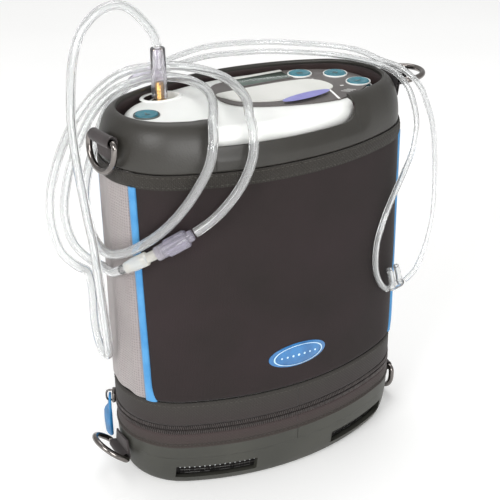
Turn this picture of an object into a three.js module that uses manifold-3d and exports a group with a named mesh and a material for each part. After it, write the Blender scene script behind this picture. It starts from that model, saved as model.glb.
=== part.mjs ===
// Portable oxygen concentrator in its fitted carry bag, with the nasal cannula plugged in.
// Millimetres, +Z up, front face towards -Y, origin at the centre of the base on the floor plane.
// The bag's plan is an oval of four tangent arcs; every wall is that oval, inset by some amount.
import * as THREE from "three";
import { mergeVertices } from "three/addons/utils/BufferGeometryUtils.js";
import Module from "manifold-3d";

const wasm = await Module();
wasm.setup();

// Bag.
const BAG = { halfWidth: 104.5, halfDepth: 59.6, endRadius: 47 };
const BASE_TOP = 23;
const TUCK_TOP = 33;
const TUCK = 7.3;
const ZIP_BOTTOM = 43.6;
const ZIP_TOP = 49.6;
const ZIP_LEVEL = 46.6;
const PANEL_BOTTOM = 67.7;
const PANEL_TOP = 228.4;
const PIPING_TOP = 219;
const CAP_BOTTOM = 228.7;
const CAP_BEND = 232;
const CAP_TOP = 258;
const CAP_LEAN = 12.2;
const CAP_WALL = 4;
const PANEL_WALL = 4;
const BAND_WALL = 2.5;
const GAP = 0.3;
const SEAM_TOP_ANGLE = 31.5;
const SEAM_BOTTOM_ANGLE = 36.3;
const PIPING_RADIUS = 2.4;
const CUTOUT = { left: -54, right: 49, bottom: 244, leftCorner: 3, rightCorner: 12 };
const VENT = { from: 30, to: 83, bottom: 6, top: 16 };

// Device case inside the bag.
const CASE = { halfWidth: 89, halfDepth: 51, endRadius: 38 };
const CASE_BOTTOM = 4.6;
const CASE_SPLIT = 200;
const CASE_WALL = 2.5;
const DECK = 252;
const OVERLAY_THICKNESS = 0.8;
const OVERLAY_TOP = DECK + GAP + OVERLAY_THICKNESS;
const OUTLET = [-51, 32.2];
const RECESS = { y: 30.6, width: 24, depth: 16, floor: 246 };

// Buttons: cap radius, travel and where each one stands on the deck.
const BUTTON_RADIUS = 8;
const BUTTON_HOLE = 8.5;
const BUTTON_TOP = DECK + 2;
const BUTTONS = {
  power_button: [-73.5, 3],
  mode_button: [49, 23.4],
  increase_button: [70, 11.8],
  decrease_button: [73.8, -10.4],
};

// D-rings: for a 25 mm strap, of 4 mm wire. tilt is 0 hanging down and 90 straight out.
const RING = { halfSpan: 14.7, reach: 20.5, wire: 2, corner: 3 };
const BAR_OUT = 51.2;
const TAB = { width: 22, loop: 3.9, eye: 2.5, strap: 2.8 };
const RINGS = {
  upper_left: { side: -1, angle: 9, z: 247, tilt: 6, tail: -12 },
  upper_right: { side: 1, angle: 2, z: 250, tilt: 93, tail: -12 },
  lower_left: { side: -1, angle: 1, z: 16, tilt: 130, tail: 16 },
  lower_right: { side: 1, angle: 3, z: 24, tilt: 0, tail: 12 },
};

// Zip slider and its pull, parked on the left end a little to the back.
const SLIDER_ANGLE = 155;
const PULL = { width: 8, length: 34, eyeHeight: 1.2, slotHalf: 1.7, slotEnd: 6.8, thickness: 1.6 };

// Drive train inside the case.
const SHAFT = { y: -13, z: 32, radius: 4, from: -46, to: 18 };
const THROW = 4;
const CYLINDERS = { piston_left: { x: -26, up: 1 }, piston_right: { x: -4, up: -1 } };
const ROD_FOOT = 44.6;
const FAN = { x: -57, y: -2, z: 40, half: 28, depth: 14, bore: 25.5, hub: 11, blade: 24 };

// Cannula: supply tube of 6 mm, the two branches to the nose of 4 mm.
const SUPPLY_RADIUS = 3;
const BRANCH_RADIUS = 2;
const SUPPLY_ROUTE = [
  [-51.2, 32.4, 285.4], [-53.6, 32.7, 294], [-72, 33, 313.5], [-86, 33, 313.5], [-99, 33, 304],
  [-107, 32, 289], [-113, 29, 253], [-114.5, 24, 233], [-117, 4, 195], [-117.5, -5, 178],
  [-117.5, -9, 160], [-116, -9, 138], [-114, -7, 118], [-111.5, -1, 94], [-110.5, 9, 89.5],
  [-110, 19, 94], [-110, 23.5, 104], [-110.5, 23, 134], [-114, 20, 147], [-121, 17, 153.5],
  [-129, 21, 163], [-132, 28, 178], [-129, 36, 197], [-121, 43, 214], [-110, 48.5, 231],
  [-98, 50.5, 246], [-83, 49, 260], [-67, 46.5, 267.5], [-38, 41, 268], [-27, 31, 267.5],
  [-20, 16, 267], [-18, -2, 266.5], [-25, -37, 265.5], [-31, -51, 262.5], [-34, -62, 253],
  [-36, -64.8, 241], [-41.5, -64, 226], [-51, -61.5, 212], [-61, -57.5, 201], [-70, -53.5, 194],
];
const EXTENSION_ROUTE = [
  [-108.6, -28, 167.8], [-110.2, -18.5, 162.2], [-109.6, -8, 158.6], [-109.5, 2, 157], [-113, 12, 158],
  [-118.5, 21, 164], [-121.5, 28, 174], [-121, 34, 188], [-117, 37.5, 202], [-111, 40, 217],
  [-102.5, 42, 232], [-92, 44, 246], [-79, 42.5, 257], [-63, 41.5, 261.5], [-50, 43.3, 261.5],
  [-40, 38.5, 261.5], [-33, 28, 261.5], [-31, 14, 261.5], [-33.5, -3, 262], [-40, -21, 262.5],
  [-48.5, -39, 263], [-55.5, -52, 260.5], [-60, -60.5, 250], [-63, -60.5, 238], [-69, -58, 225],
  [-77.5, -54, 211], [-87.5, -48, 198], [-97, -39.5, 187.5], [-105, -28, 178.5], [-110, -15, 173],
  [-111, -3, 171.5], [-111.5, 9, 175], [-111.5, 18, 187], [-108.5, 26, 201], [-103, 31.5, 214],
  [-97, 34.5, 226], [-91, 38.5, 236], [-82.5, 46, 244], [-73, 50.5, 251], [-62, 54.5, 256],
];
const BRANCH_A_ROUTE = [
  [-36, 59.5, 259], [-20, 61, 262], [0, 62, 263.5], [20, 60, 263], [40, 55, 262.5],
  [58, 46.5, 261.5], [72, 36, 261], [83, 22, 260.8], [90.5, 5, 260.8], [94, -9, 260.5],
  [97.5, -21, 257.5], [101.5, -28.5, 249.5], [104.5, -32, 238], [105, -35, 225], [100.5, -38.5, 210],
  [91, -42, 195], [80, -47, 183], [71, -50.5, 170], [65, -52.5, 156], [63.5, -53, 142],
  [65.5, -52.5, 130], [70.5, -51, 120.5], [77, -48.8, 114],
];
const BRANCH_B_ROUTE = [
  [93, -47, 116.5], [101, -47.5, 123], [109, -46, 136], [117, -42, 153], [123, -36, 171],
  [126, -31, 186], [127, -28, 203], [125, -26.5, 220], [119.5, -25.5, 236], [112.2, -25.6, 249.5],
  [104.2, -17.5, 259], [99, 0, 261.2], [92.5, 17, 264.5], [80.5, 33, 265.8], [65, 46, 266.5],
  [46, 56.5, 267.8], [23, 63, 268.8], [0, 65.5, 269], [-20, 64, 267], [-36, 61.5, 264.5],
];
const SOCKET_ENDS = [[-71.5, -52.8, 192.8], [-88, -44.6, 182.5]];
const SWIVEL_ENDS = [[-89, -43.9, 181.8], [-106.9, -30, 169.3]];
const YOKE_ENDS = [[-61, 54.9, 256.4], [-37.6, 60.2, 261.4]];
const NASAL_ENDS = [[79, -48.3, 114.1], [91.4, -47.2, 116.1]];

const COLOURS = {
  neoprene: [0x3e3434, 0.9, 0],
  vinyl: [0x4a4843, 0.55, 0],
  webbing: [0x4b4440, 0.85, 0],
  mesh_fabric: [0xa89f9b, 0.9, 0],
  piping: [0x4f9fdb, 0.6, 0],
  rubber: [0x52524c, 0.6, 0],
  zip: [0x3a3532, 0.5, 0],
  steel: [0x8a8784, 0.3, 1],
  white_plastic: [0xe9ebe6, 0.35, 0],
  grey_film: [0x5a5553, 0.5, 0],
  lens: [0x4b5a52, 0.15, 0],
  button: [0x2f8fa5, 0.4, 0],
  badge: [0x1f74b9, 0.4, 0],
  brass: [0xb08a3c, 0.3, 1],
  clear_pvc: [0xdfe3e2, 0.15, 0],
  board: [0x2f6b45, 0.6, 0],
  battery: [0x2b3f55, 0.5, 0],
  cast_metal: [0x9a9c9e, 0.5, 1],
  black_plastic: [0x2a2a2c, 0.5, 0],
};

const degrees = (angle) => THREE.MathUtils.degToRad(angle);
const group = new THREE.Group();

function add(name, geometry, colour) {
  const [color, roughness, metalness] = COLOURS[colour];
  const mesh = new THREE.Mesh(geometry, new THREE.MeshStandardMaterial({ color, roughness, metalness }));
  mesh.name = name;
  group.add(mesh);
}

// ---- Closed meshes and booleans ----

function signedVolume(points, triangles) {
  let volume = 0;
  for (const [a, b, c] of triangles) {
    volume += points[a].dot(new THREE.Vector3().crossVectors(points[b], points[c])) / 6;
  }
  return volume;
}

// A closed mesh from points and triangles, turned so that its faces point out.
function closedMesh(points, triangles) {
  const flip = signedVolume(points, triangles) < 0;
  const geometry = new THREE.BufferGeometry();
  geometry.setAttribute("position", new THREE.Float32BufferAttribute(points.flatMap((p) => p.toArray()), 3));
  geometry.setIndex(triangles.flatMap(([a, b, c]) => (flip ? [a, c, b] : [a, b, c])));
  return geometry;
}

function toSolid(geometry) {
  const plain = geometry.clone();
  plain.deleteAttribute("normal");
  plain.deleteAttribute("uv");
  const merged = mergeVertices(plain, 1e-4);
  return new wasm.Manifold(
    new wasm.Mesh({
      numProp: 3,
      vertProperties: new Float32Array(merged.attributes.position.array),
      triVerts: new Uint32Array(merged.index.array),
    })
  );
}

function toGeometry(solid) {
  const mesh = solid.getMesh();
  const geometry = new THREE.BufferGeometry();
  geometry.setAttribute("position", new THREE.BufferAttribute(new Float32Array(mesh.vertProperties), 3));
  geometry.setIndex(new THREE.BufferAttribute(new Uint32Array(mesh.triVerts), 1));
  return geometry;
}

const cut = (body, ...tools) =>
  toGeometry(tools.reduce((left, tool) => left.subtract(toSolid(tool)), toSolid(body)));
const join = (body, ...more) =>
  toGeometry(more.reduce((left, piece) => left.add(toSolid(piece)), toSolid(body)));
const common = (body, limit) => toGeometry(toSolid(body).intersect(toSolid(limit)));

// ---- Ovals of four tangent arcs ----

function oval({ halfWidth, halfDepth, endRadius }) {
  const endCentre = halfWidth - endRadius;
  const longRadius = (endCentre ** 2 + halfDepth ** 2 - endRadius ** 2) / (2 * (halfDepth - endRadius));
  const longCentre = longRadius - halfDepth;
  const edge = THREE.MathUtils.radToDeg(Math.atan2(longCentre, endCentre));
  const arcs = {
    right: { x: endCentre, y: 0, radius: endRadius, from: -edge, to: edge, steps: 10 },
    back: { x: 0, y: -longCentre, radius: longRadius, from: edge, to: 180 - edge, steps: 8 },
    left: { x: -endCentre, y: 0, radius: endRadius, from: 180 - edge, to: 180 + edge, steps: 10 },
    front: { x: 0, y: longCentre, radius: longRadius, from: 180 + edge, to: 360 - edge, steps: 8 },
  };
  return { arcs, endCentre, edge };
}

function arcPoints(arc, inset, z, from = arc.from, to = arc.to, steps = arc.steps) {
  return Array.from({ length: steps + 1 }, (_, i) => {
    const angle = degrees(from + ((to - from) * i) / steps);
    const radius = arc.radius - inset;
    return new THREE.Vector3(arc.x + radius * Math.cos(angle), arc.y + radius * Math.sin(angle), z);
  });
}

function ovalRing(shape, inset, z) {
  const { right, back, left, front } = shape.arcs;
  return [right, back, left, front].flatMap((arc) => arcPoints(arc, inset, z).slice(0, -1));
}

// Rows of points joined row to row. wrapRow closes each row, wrapRows joins the last row to the
// first, and otherwise the first and last rows are closed with flat fans.
function rowsSolid(rows, { wrapRow, wrapRows }) {
  const width = rows[0].length;
  const points = rows.flat();
  const triangles = [];
  const rowCount = wrapRows ? rows.length : rows.length - 1;
  const columnCount = wrapRow ? width : width - 1;
  for (let r = 0; r < rowCount; r++) {
    const here = r * width;
    const next = ((r + 1) % rows.length) * width;
    for (let c = 0; c < columnCount; c++) {
      const d = (c + 1) % width;
      triangles.push([here + c, here + d, next + d], [here + c, next + d, next + c]);
    }
  }
  if (!wrapRows) {
    closeRow(triangles, 0, width, true);
    closeRow(triangles, (rows.length - 1) * width, width, false);
  }
  if (!wrapRow) {
    closeColumn(triangles, 0, width, rows.length, false);
    closeColumn(triangles, width - 1, width, rows.length, true);
  }
  return closedMesh(points, triangles);
}

function closeRow(triangles, start, width, reverse) {
  for (let i = 1; i < width - 1; i++) {
    const [a, b] = reverse ? [i + 1, i] : [i, i + 1];
    triangles.push([start, start + a, start + b]);
  }
}

function closeColumn(triangles, column, width, rowCount, reverse) {
  for (let i = 1; i < rowCount - 1; i++) {
    const [a, b] = reverse ? [i + 1, i] : [i, i + 1];
    triangles.push([column, column + a * width, column + b * width]);
  }
}

// A band all round an oval. The profile is a closed list of [inset, z].
const bandRound = (shape, profile) =>
  rowsSolid(profile.map(([inset, z]) => ovalRing(shape, inset, z)), { wrapRow: true, wrapRows: true });

// A solid stack of ovals, closed at both ends.
const stack = (shape, levels) =>
  rowsSolid(levels.map(([inset, z]) => ovalRing(shape, inset, z)), { wrapRow: true, wrapRows: false });

// ---- Simple solids ----

function box(from, to) {
  const geometry = new THREE.BoxGeometry(to[0] - from[0], to[1] - from[1], to[2] - from[2]);
  return geometry.translate((from[0] + to[0]) / 2, (from[1] + to[1]) / 2, (from[2] + to[2]) / 2);
}

// A lathe round +Z: the profile runs from the axis to the axis, or closes on itself round a bore.
const lathe = (profile, segments = 24) =>
  new THREE.LatheGeometry(profile.map(([r, z]) => new THREE.Vector2(r, z)), segments).rotateX(Math.PI / 2);

const disc = (radius, z0, z1, segments = 24) => lathe([[0, z0], [radius, z0], [radius, z1], [0, z1]], segments);

const bored = (profile, bore, segments) => {
  const [first] = profile;
  const last = profile[profile.length - 1];
  return lathe([[bore, first[1]], ...profile, [bore, last[1]], [bore, first[1]]], segments);
};

const prism = (shape, z0, z1, curveSegments = 12) =>
  new THREE.ExtrudeGeometry(shape, { depth: z1 - z0, bevelEnabled: false, curveSegments }).translate(0, 0, z0);

const polygon = (corners) => new THREE.Shape(corners.map(([x, y]) => new THREE.Vector2(x, y)));

function circleShape(radius, sides) {
  const corners = Array.from({ length: sides }, (_, i) => [
    radius * Math.cos((2 * Math.PI * i) / sides),
    radius * Math.sin((2 * Math.PI * i) / sides),
  ]);
  return polygon(corners);
}

// A smooth closed outline through a few corners.
function smoothOutline(corners, divisions) {
  const curve = new THREE.SplineCurve([...corners, corners[0]].map(([x, y]) => new THREE.Vector2(x, y)));
  return new THREE.Shape(curve.getPoints(divisions).slice(0, -1));
}

function tubeAlong(points, radius, steps, sides = 8) {
  const path = new THREE.CatmullRomCurve3(points.map((p) => new THREE.Vector3(...p)), false, "centripetal");
  return new THREE.ExtrudeGeometry(circleShape(radius, sides), { steps, bevelEnabled: false, extrudePath: path });
}

// Moves a solid made along +Z from z = 0 so that it runs from one point towards another.
function aimed(geometry, [from, to]) {
  const start = new THREE.Vector3(...from);
  const way = new THREE.Vector3(...to).sub(start).normalize();
  const turn = new THREE.Quaternion().setFromUnitVectors(new THREE.Vector3(0, 0, 1), way);
  return geometry.applyQuaternion(turn).translate(...from);
}

const spanOf = ([from, to]) => new THREE.Vector3(...from).distanceTo(new THREE.Vector3(...to));

// ---- Bag ----

const bag = oval(BAG);

// The base tucks in towards the floor, and the cap leans in towards its opening.
const tuck = (z) => TUCK * (1 - Math.sqrt(1 - Math.min(1, Math.max(0, (TUCK_TOP - z) / TUCK_TOP)) ** 2));
const lean = (z) => CAP_LEAN * (1 - Math.sqrt(1 - Math.min(1, Math.max(0, (z - CAP_BEND) / (CAP_TOP - CAP_BEND))) ** 2));
const seamAngle = (z) =>
  SEAM_TOP_ANGLE + ((SEAM_BOTTOM_ANGLE - SEAM_TOP_ANGLE) * (PIPING_TOP - z)) / (PIPING_TOP - PANEL_BOTTOM);

function baseTray() {
  const wall = 3.5;
  const floor = 4;
  const outside = stack(bag, [0, 3, 8, 15, BASE_TOP].map((z) => [tuck(z), z]));
  const inside = stack(bag, [floor, 9, 15, BASE_TOP + 1].map((z) => [tuck(z) + wall, z]));
  const slots = [-1, 1].flatMap((x) =>
    [-1, 1].map((y) => {
      const [near, far] = [30, 75].map((depth) => y * depth);
      const xs = [x * VENT.from, x * VENT.to].sort((a, b) => a - b);
      const ys = [near, far].sort((a, b) => a - b);
      return box([xs[0], ys[0], VENT.bottom], [xs[1], ys[1], VENT.top]);
    })
  );
  add("base_tray", cut(outside, inside, ...slots), "rubber");
  const meshLevels = [floor + GAP, 9, 15, VENT.top + 2];
  const profile = [
    ...meshLevels.map((z) => [tuck(z) + wall + 0.5, z]),
    ...[...meshLevels].reverse().map((z) => [tuck(z) + wall + 1.3, z]),
  ];
  add("vent_mesh", bandRound(bag, profile), "steel");
}

function fabricBand(name, levels, wall, colour) {
  const outside = levels.map((z) => [tuck(z), z]);
  const inside = [...levels].reverse().map((z) => [tuck(z) + wall, z]);
  add(name, bandRound(bag, [...outside, ...inside]), colour);
}

// The part of one wall from angle to angle round the oval, as one row of points.
function panelRow(pieces, inset, z) {
  return pieces.flatMap(([arc, from, to, steps], i) => {
    const points = arcPoints(bag.arcs[arc], inset, z, from, to, steps);
    return i < pieces.length - 1 ? points.slice(0, -1) : points;
  });
}

function panel(name, piecesAt, colour) {
  const levels = [PANEL_BOTTOM, PIPING_TOP - 100, PIPING_TOP - 40, PANEL_TOP];
  const outside = levels.map((z) => panelRow(piecesAt(z), 0, z));
  const inside = [...levels].reverse().map((z) => panelRow(piecesAt(z), PANEL_WALL, z));
  add(name, rowsSolid([...outside, ...inside], { wrapRow: false, wrapRows: true }), colour);
}

function bagWalls() {
  fabricBand("lower_band", [BASE_TOP + GAP, TUCK_TOP, ZIP_BOTTOM - GAP], BAND_WALL, "webbing");
  fabricBand("zip_chain", [ZIP_BOTTOM, ZIP_TOP], BAND_WALL, "zip");
  fabricBand("upper_band", [ZIP_TOP + GAP, PANEL_BOTTOM - GAP], BAND_WALL, "webbing");
  const clear = THREE.MathUtils.radToDeg((PIPING_RADIUS + GAP) / (BAG.endRadius - PANEL_WALL));
  const { edge } = bag;
  panel("side_mesh_right", (z) => [["right", clear - seamAngle(z), seamAngle(z) - clear, 8]], "mesh_fabric");
  panel("side_mesh_left", (z) => [["left", 180 + clear - seamAngle(z), 180 + seamAngle(z) - clear, 8]], "mesh_fabric");
  panel("front_panel", (z) => [
    ["left", 180 + seamAngle(z) + clear, 180 + edge, 4],
    ["front", 180 + edge, 360 - edge, 10],
    ["right", -edge, -seamAngle(z) - clear, 4],
  ], "neoprene");
  panel("back_panel", (z) => [
    ["right", seamAngle(z) + clear, edge, 4],
    ["back", edge, 180 - edge, 10],
    ["left", 180 - edge, 180 - seamAngle(z) - clear, 4],
  ], "neoprene");
}

function piping() {
  const levels = [PANEL_BOTTOM + GAP, 110, 160, 200, PANEL_TOP - GAP];
  const corners = {
    piping_front_left: (a) => ["left", 180 + a],
    piping_front_right: (a) => ["right", -a],
    piping_back_left: (a) => ["left", 180 - a],
    piping_back_right: (a) => ["right", a],
  };
  for (const [name, place] of Object.entries(corners)) {
    const route = levels.map((z) => {
      const [arc, angle] = place(seamAngle(z));
      return arcPoints(bag.arcs[arc], 0.4, z, angle, angle, 1)[0].toArray();
    });
    add(name, tubeAlong(route, PIPING_RADIUS, 6, 10), "piping");
  }
}

function cutoutShape() {
  const { left, right, bottom, leftCorner, rightCorner } = CUTOUT;
  const top = CAP_TOP + 10;
  const shape = new THREE.Shape();
  shape.moveTo(left, top);
  shape.lineTo(left, bottom + leftCorner);
  shape.quadraticCurveTo(left, bottom, left + leftCorner, bottom);
  shape.lineTo(right - rightCorner, bottom);
  shape.quadraticCurveTo(right, bottom, right, bottom + rightCorner);
  shape.lineTo(right, top);
  return shape;
}

function rimCap() {
  const outerLevels = [CAP_BOTTOM, 238, 244, 249.5, 254, 256.8, CAP_TOP];
  const outside = outerLevels.map((z) => [lean(z), z]);
  const lip = [[CAP_LEAN + 1, CAP_TOP - 0.8], [CAP_LEAN + 1, CAP_TOP - 1.6]];
  const inside = [253, 248, 241, CAP_BOTTOM].map((z) => [Math.min(lean(z) + CAP_WALL, CAP_LEAN + 1), z]);
  const collar = bandRound(bag, [...outside, ...lip, ...inside]);
  const window = prism(cutoutShape(), 20, 80, 8).rotateX(Math.PI / 2);
  add("rim_cap", cut(collar, window), "vinyl");
}

function badge() {
  const outline = new THREE.Shape();
  outline.absellipse(0, 0, 21.5, 8.5, 0, 2 * Math.PI);
  const plate = prism(outline, 0, 1.8, 20).rotateX(Math.PI / 2);
  add("badge", plate.translate(-1, -BAG.halfDepth - GAP, 92), "badge");
}

// ---- D-rings on their tabs ----

// Turns a solid made with X pointing out of the wall and Y along it to its place on an end of the bag.
function onEnd(geometry, { side, angle }, radius, z) {
  const turn = side > 0 ? -angle : 180 + angle;
  geometry.translate(radius, 0, z).rotateZ(degrees(turn));
  return geometry.translate(side * bag.endCentre, 0, 0);
}

function tabGeometry(tail) {
  const { loop, eye, strap, width } = TAB;
  const up = Math.sign(tail);
  const meet = Math.acos((strap - loop) / loop);
  const shape = new THREE.Shape();
  shape.moveTo(-loop, up * Math.abs(tail));
  shape.lineTo(-loop, 0);
  shape.absarc(0, 0, loop, Math.PI, up * meet, up < 0);
  shape.lineTo(strap - loop, up * Math.abs(tail));
  const hole = new THREE.Path();
  hole.absarc(0, 0, eye, 0, 2 * Math.PI, false);
  shape.holes.push(hole);
  return prism(shape, -width / 2, width / 2, 8).rotateX(Math.PI / 2);
}

// The centre line of a ring hanging down from its bar, in the plane of Y and Z.
function ringPath() {
  const { halfSpan, reach, corner } = RING;
  const arm = reach - halfSpan;
  const points = [];
  const turn = (y, z, radius, from, to, steps) => {
    for (let i = 0; i <= steps; i++) {
      const a = degrees(from + ((to - from) * i) / steps);
      points.push([y + radius * Math.cos(a), z + radius * Math.sin(a)]);
    }
  };
  turn(halfSpan - corner, -corner, corner, 90, 0, 3);
  turn(0, -arm, halfSpan, 0, -180, 12);
  turn(corner - halfSpan, -corner, corner, 180, 90, 3);
  return points;
}

function ringGeometry() {
  const path = ringPath();
  const sides = 8;
  const rows = path.map(([y, z], i) => {
    const [py, pz] = path[(i + path.length - 1) % path.length];
    const [ny, nz] = path[(i + 1) % path.length];
    const side = new THREE.Vector3(0, nz - pz, py - ny).normalize();
    return Array.from({ length: sides }, (_, k) => {
      const a = (2 * Math.PI * (k + 0.5)) / sides;
      const offset = side.clone().multiplyScalar(RING.wire * Math.cos(a));
      return new THREE.Vector3(RING.wire * Math.sin(a), y, z).add(offset);
    });
  });
  return rowsSolid(rows, { wrapRow: true, wrapRows: true });
}

function dRings() {
  for (const [name, ring] of Object.entries(RINGS)) {
    add(`tab_${name}`, onEnd(tabGeometry(ring.tail), ring, BAR_OUT, ring.z), "vinyl");
    const hung = ringGeometry().rotateY(degrees(-ring.tilt));
    add(`d_ring_${name}`, onEnd(hung, ring, BAR_OUT, ring.z), "steel");
  }
}

// ---- Zip slider and pull ----

function zipSlider() {
  const place = { side: -1, angle: SLIDER_ANGLE - 180 };
  const body = box([0.4, -5, -3.6], [3, 5, 3.6]);
  const bail = tubeAlong([[2.4, 0, 4], [5.4, 0, 4], [6.6, 0, 2.8], [6.6, 0, -2.8], [5.4, 0, -4], [2.4, 0, -4]], 0.7, 12);
  add("zip_slider", onEnd(join(body, bail), place, BAG.endRadius, ZIP_LEVEL), "black_plastic");
  const { width, length, eyeHeight, slotHalf, slotEnd, thickness } = PULL;
  const outline = new THREE.Shape();
  outline.moveTo(-width / 2, eyeHeight - 1);
  outline.quadraticCurveTo(0, eyeHeight + 1, width / 2, eyeHeight - 1);
  outline.lineTo(width / 2, 3 - length);
  outline.quadraticCurveTo(0, -1 - length, -width / 2, 3 - length);
  const slot = new THREE.Path([
    new THREE.Vector2(-slotHalf, -slotEnd),
    new THREE.Vector2(slotHalf, -slotEnd),
    new THREE.Vector2(slotHalf, -0.6),
    new THREE.Vector2(-slotHalf, -0.6),
  ]);
  outline.holes.push(slot);
  const tongue = prism(outline, -thickness / 2, thickness / 2, 6).rotateX(Math.PI / 2).rotateZ(Math.PI / 2);
  add("zip_pull", onEnd(tongue, place, BAG.endRadius + 4.6, ZIP_LEVEL), "piping");
}

// ---- Device case, deck and buttons ----

const shell = oval(CASE);

function caseParts() {
  const lowerOut = stack(shell, [[2, CASE_BOTTOM], [0, CASE_BOTTOM + 4], [0, CASE_SPLIT]]);
  const lowerIn = stack(shell, [[CASE_WALL + 1, CASE_BOTTOM + 3], [CASE_WALL, CASE_BOTTOM + 6], [CASE_WALL, CASE_SPLIT + 1]]);
  add("case_lower", cut(lowerOut, lowerIn), "white_plastic");
  const shoulder = [[0, CASE_SPLIT + GAP], [0, 243.5], [0.9, 247.6], [3.2, 250.6], [7.5, DECK]];
  const hollow = [[CASE_WALL, CASE_SPLIT - 1], [CASE_WALL, 243.5], [3.6, 246.6], [7.5, 249.5]];
  const well = new THREE.Shape();
  well.absellipse(0, 0, RECESS.width / 2 + 2, RECESS.depth / 2 + 2, 0, 2 * Math.PI);
  const pit = new THREE.Shape();
  pit.absellipse(0, 0, RECESS.width / 2, RECESS.depth / 2, 0, 2 * Math.PI);
  const wellBody = prism(well, RECESS.floor - 3, DECK - 1, 10).translate(OUTLET[0], RECESS.y, 0);
  const wellPit = prism(pit, RECESS.floor, DECK + 5, 10).translate(OUTLET[0], RECESS.y, 0);
  const fitting = disc(4.4, RECESS.floor - 5, DECK, 16).translate(...OUTLET, 0);
  const holes = Object.values(BUTTONS).map(([x, y]) => disc(BUTTON_HOLE, DECK - 6, DECK + 5, 20).translate(x, y, 0));
  const top = join(cut(stack(shell, shoulder), stack(shell, hollow)), common(wellBody, stack(shell, shoulder)));
  add("case_upper", cut(top, wellPit, fitting, ...holes), "white_plastic");
}

function deckParts() {
  const overlay = smoothOutline(
    [[-20, 21], [-10, 33], [6, 37], [38, 38], [54, 33.5], [72, 24], [81, 10], [82, -8], [74, -20], [58, -28], [40, -32],
      [12, -27], [-12, -15], [-21, 0]],
    44
  );
  const film = prism(overlay, DECK + GAP, OVERLAY_TOP, 1);
  const keyHoles = Object.values(BUTTONS).slice(1)
    .map(([x, y]) => disc(BUTTON_HOLE, DECK, DECK + 5, 20).translate(x, y, 0));
  const window = box([1.5, 19.5, DECK], [40.5, 33.5, DECK + 5]);
  add("control_overlay", cut(film, window, ...keyHoles), "grey_film");
  add("lcd_lens", box([1.8, 19.8, DECK + GAP], [40.2, 33.2, OVERLAY_TOP + 0.2]), "lens");
  const pad = smoothOutline([[-15, 6], [-4, 14.5], [18, 16.5], [36, 14], [46, 4], [44, -14], [28, -23], [4, -20], [-10, -8]], 36);
  add("label_pad", prism(pad, OVERLAY_TOP + GAP, OVERLAY_TOP + 1.3, 1), "white_plastic");
  for (const [name, [x, y]] of Object.entries(BUTTONS)) {
    const cap = [[0, 242.9], [2.5, 242.9], [2.5, 244.6], [9.2, 244.6], [9.2, 245.8], [BUTTON_RADIUS, 245.8],
      [BUTTON_RADIUS, BUTTON_TOP - 0.6], [BUTTON_RADIUS - 1, BUTTON_TOP], [0, BUTTON_TOP + 0.3]];
    add(name, lathe(cap, 16).translate(x, y, 0), "button");
  }
  const board = [[-46, -20], [66, -20], [79, -14], [79, 12], [64, 27], [-20, 30], [-20, 14], [-82, 14], [-82, -8], [-46, -8]];
  const plate = prism(polygon(board), 239.6, 241.2);
  add("control_board", plate, "board");
  const barb = [[5.5, 246.3], [5.5, 249], [3.2, 249.6], [2.8, 252], [3.2, 252.4], [2.6, 255.2], [3.2, 255.6], [2.6, 258.4],
    [3.2, 258.8], [2.4, 262]];
  add("outlet_barb", bored(barb, 1.5, 16).translate(...OUTLET, 0), "brass");
}

// ---- Works inside the case ----

function compressor() {
  const { y, z, radius, from, to } = SHAFT;
  const body = box([-40, y - 21, z - 18], [10, y + 21, z + 18]);
  const barrels = Object.values(CYLINDERS).map(({ x }) => disc(13.6, z + 17, 92, 16).translate(x, y, 0));
  const chamber = box([-36, y - 13.5, z - 14.5], [6, y + 13.5, z + 14.5]);
  const bores = Object.values(CYLINDERS).map(({ x }) => disc(10.8, z, 86, 16).translate(x, y, 0));
  const shaftWay = disc(radius + 0.6, -50, 20, 16).rotateY(Math.PI / 2).translate(0, y, z);
  add("compressor_crankcase", cut(join(body, ...barrels), chamber, ...bores, shaftWay), "cast_metal");
  const shaft = disc(radius, from, to, 12).rotateY(Math.PI / 2);
  const throws = Object.values(CYLINDERS).map(({ x, up }) =>
    disc(8, -3.5, 3.5, 16).rotateY(Math.PI / 2).translate(x, 0, up * THROW));
  add("crankshaft", join(shaft, ...throws).translate(0, y, z), "steel");
  const piston = [[0, 0], [3.2, 0], [3.2, 14], [10.4, 14], [10.4, 24], [0, 24]];
  for (const [name, { x, up }] of Object.entries(CYLINDERS)) {
    add(name, lathe(piston, 16).translate(x, y, ROD_FOOT + (1 + up) * THROW), "cast_metal");
  }
  const can = lathe([[0, 20], [radius + 0.6, 20], [radius + 0.6, 10.4], [18, 10.4], [20, 13], [20, 53], [17, 56], [0, 56]], 20);
  add("compressor_motor", can.rotateY(Math.PI / 2).translate(0, y, z), "cast_metal");
}

function coolingFan() {
  const { x, y, z, half, depth, bore, hub, blade } = FAN;
  const frame = box([-depth / 2, -half, -half], [depth / 2, half, half]);
  const hole = disc(bore, -depth, depth, 24).rotateY(Math.PI / 2);
  const spider = [0, 60, 120].map((a) => box([4.6, -bore - 1, -1.5], [depth / 2, bore + 1, 1.5]).rotateX(degrees(a)));
  add("fan_frame", join(cut(frame, hole), ...spider).translate(x, y, z), "black_plastic");
  const core = disc(hub, -5.5, 4, 14).rotateY(Math.PI / 2);
  const blades = Array.from({ length: 7 }, (_, i) =>
    box([-4.5, hub - 2, -0.8], [4.5, blade, 0.8]).rotateY(degrees(32)).rotateX((2 * Math.PI * i) / 7));
  add("fan_impeller", join(core, ...blades).translate(x - 1, y, z), "black_plastic");
}

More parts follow.
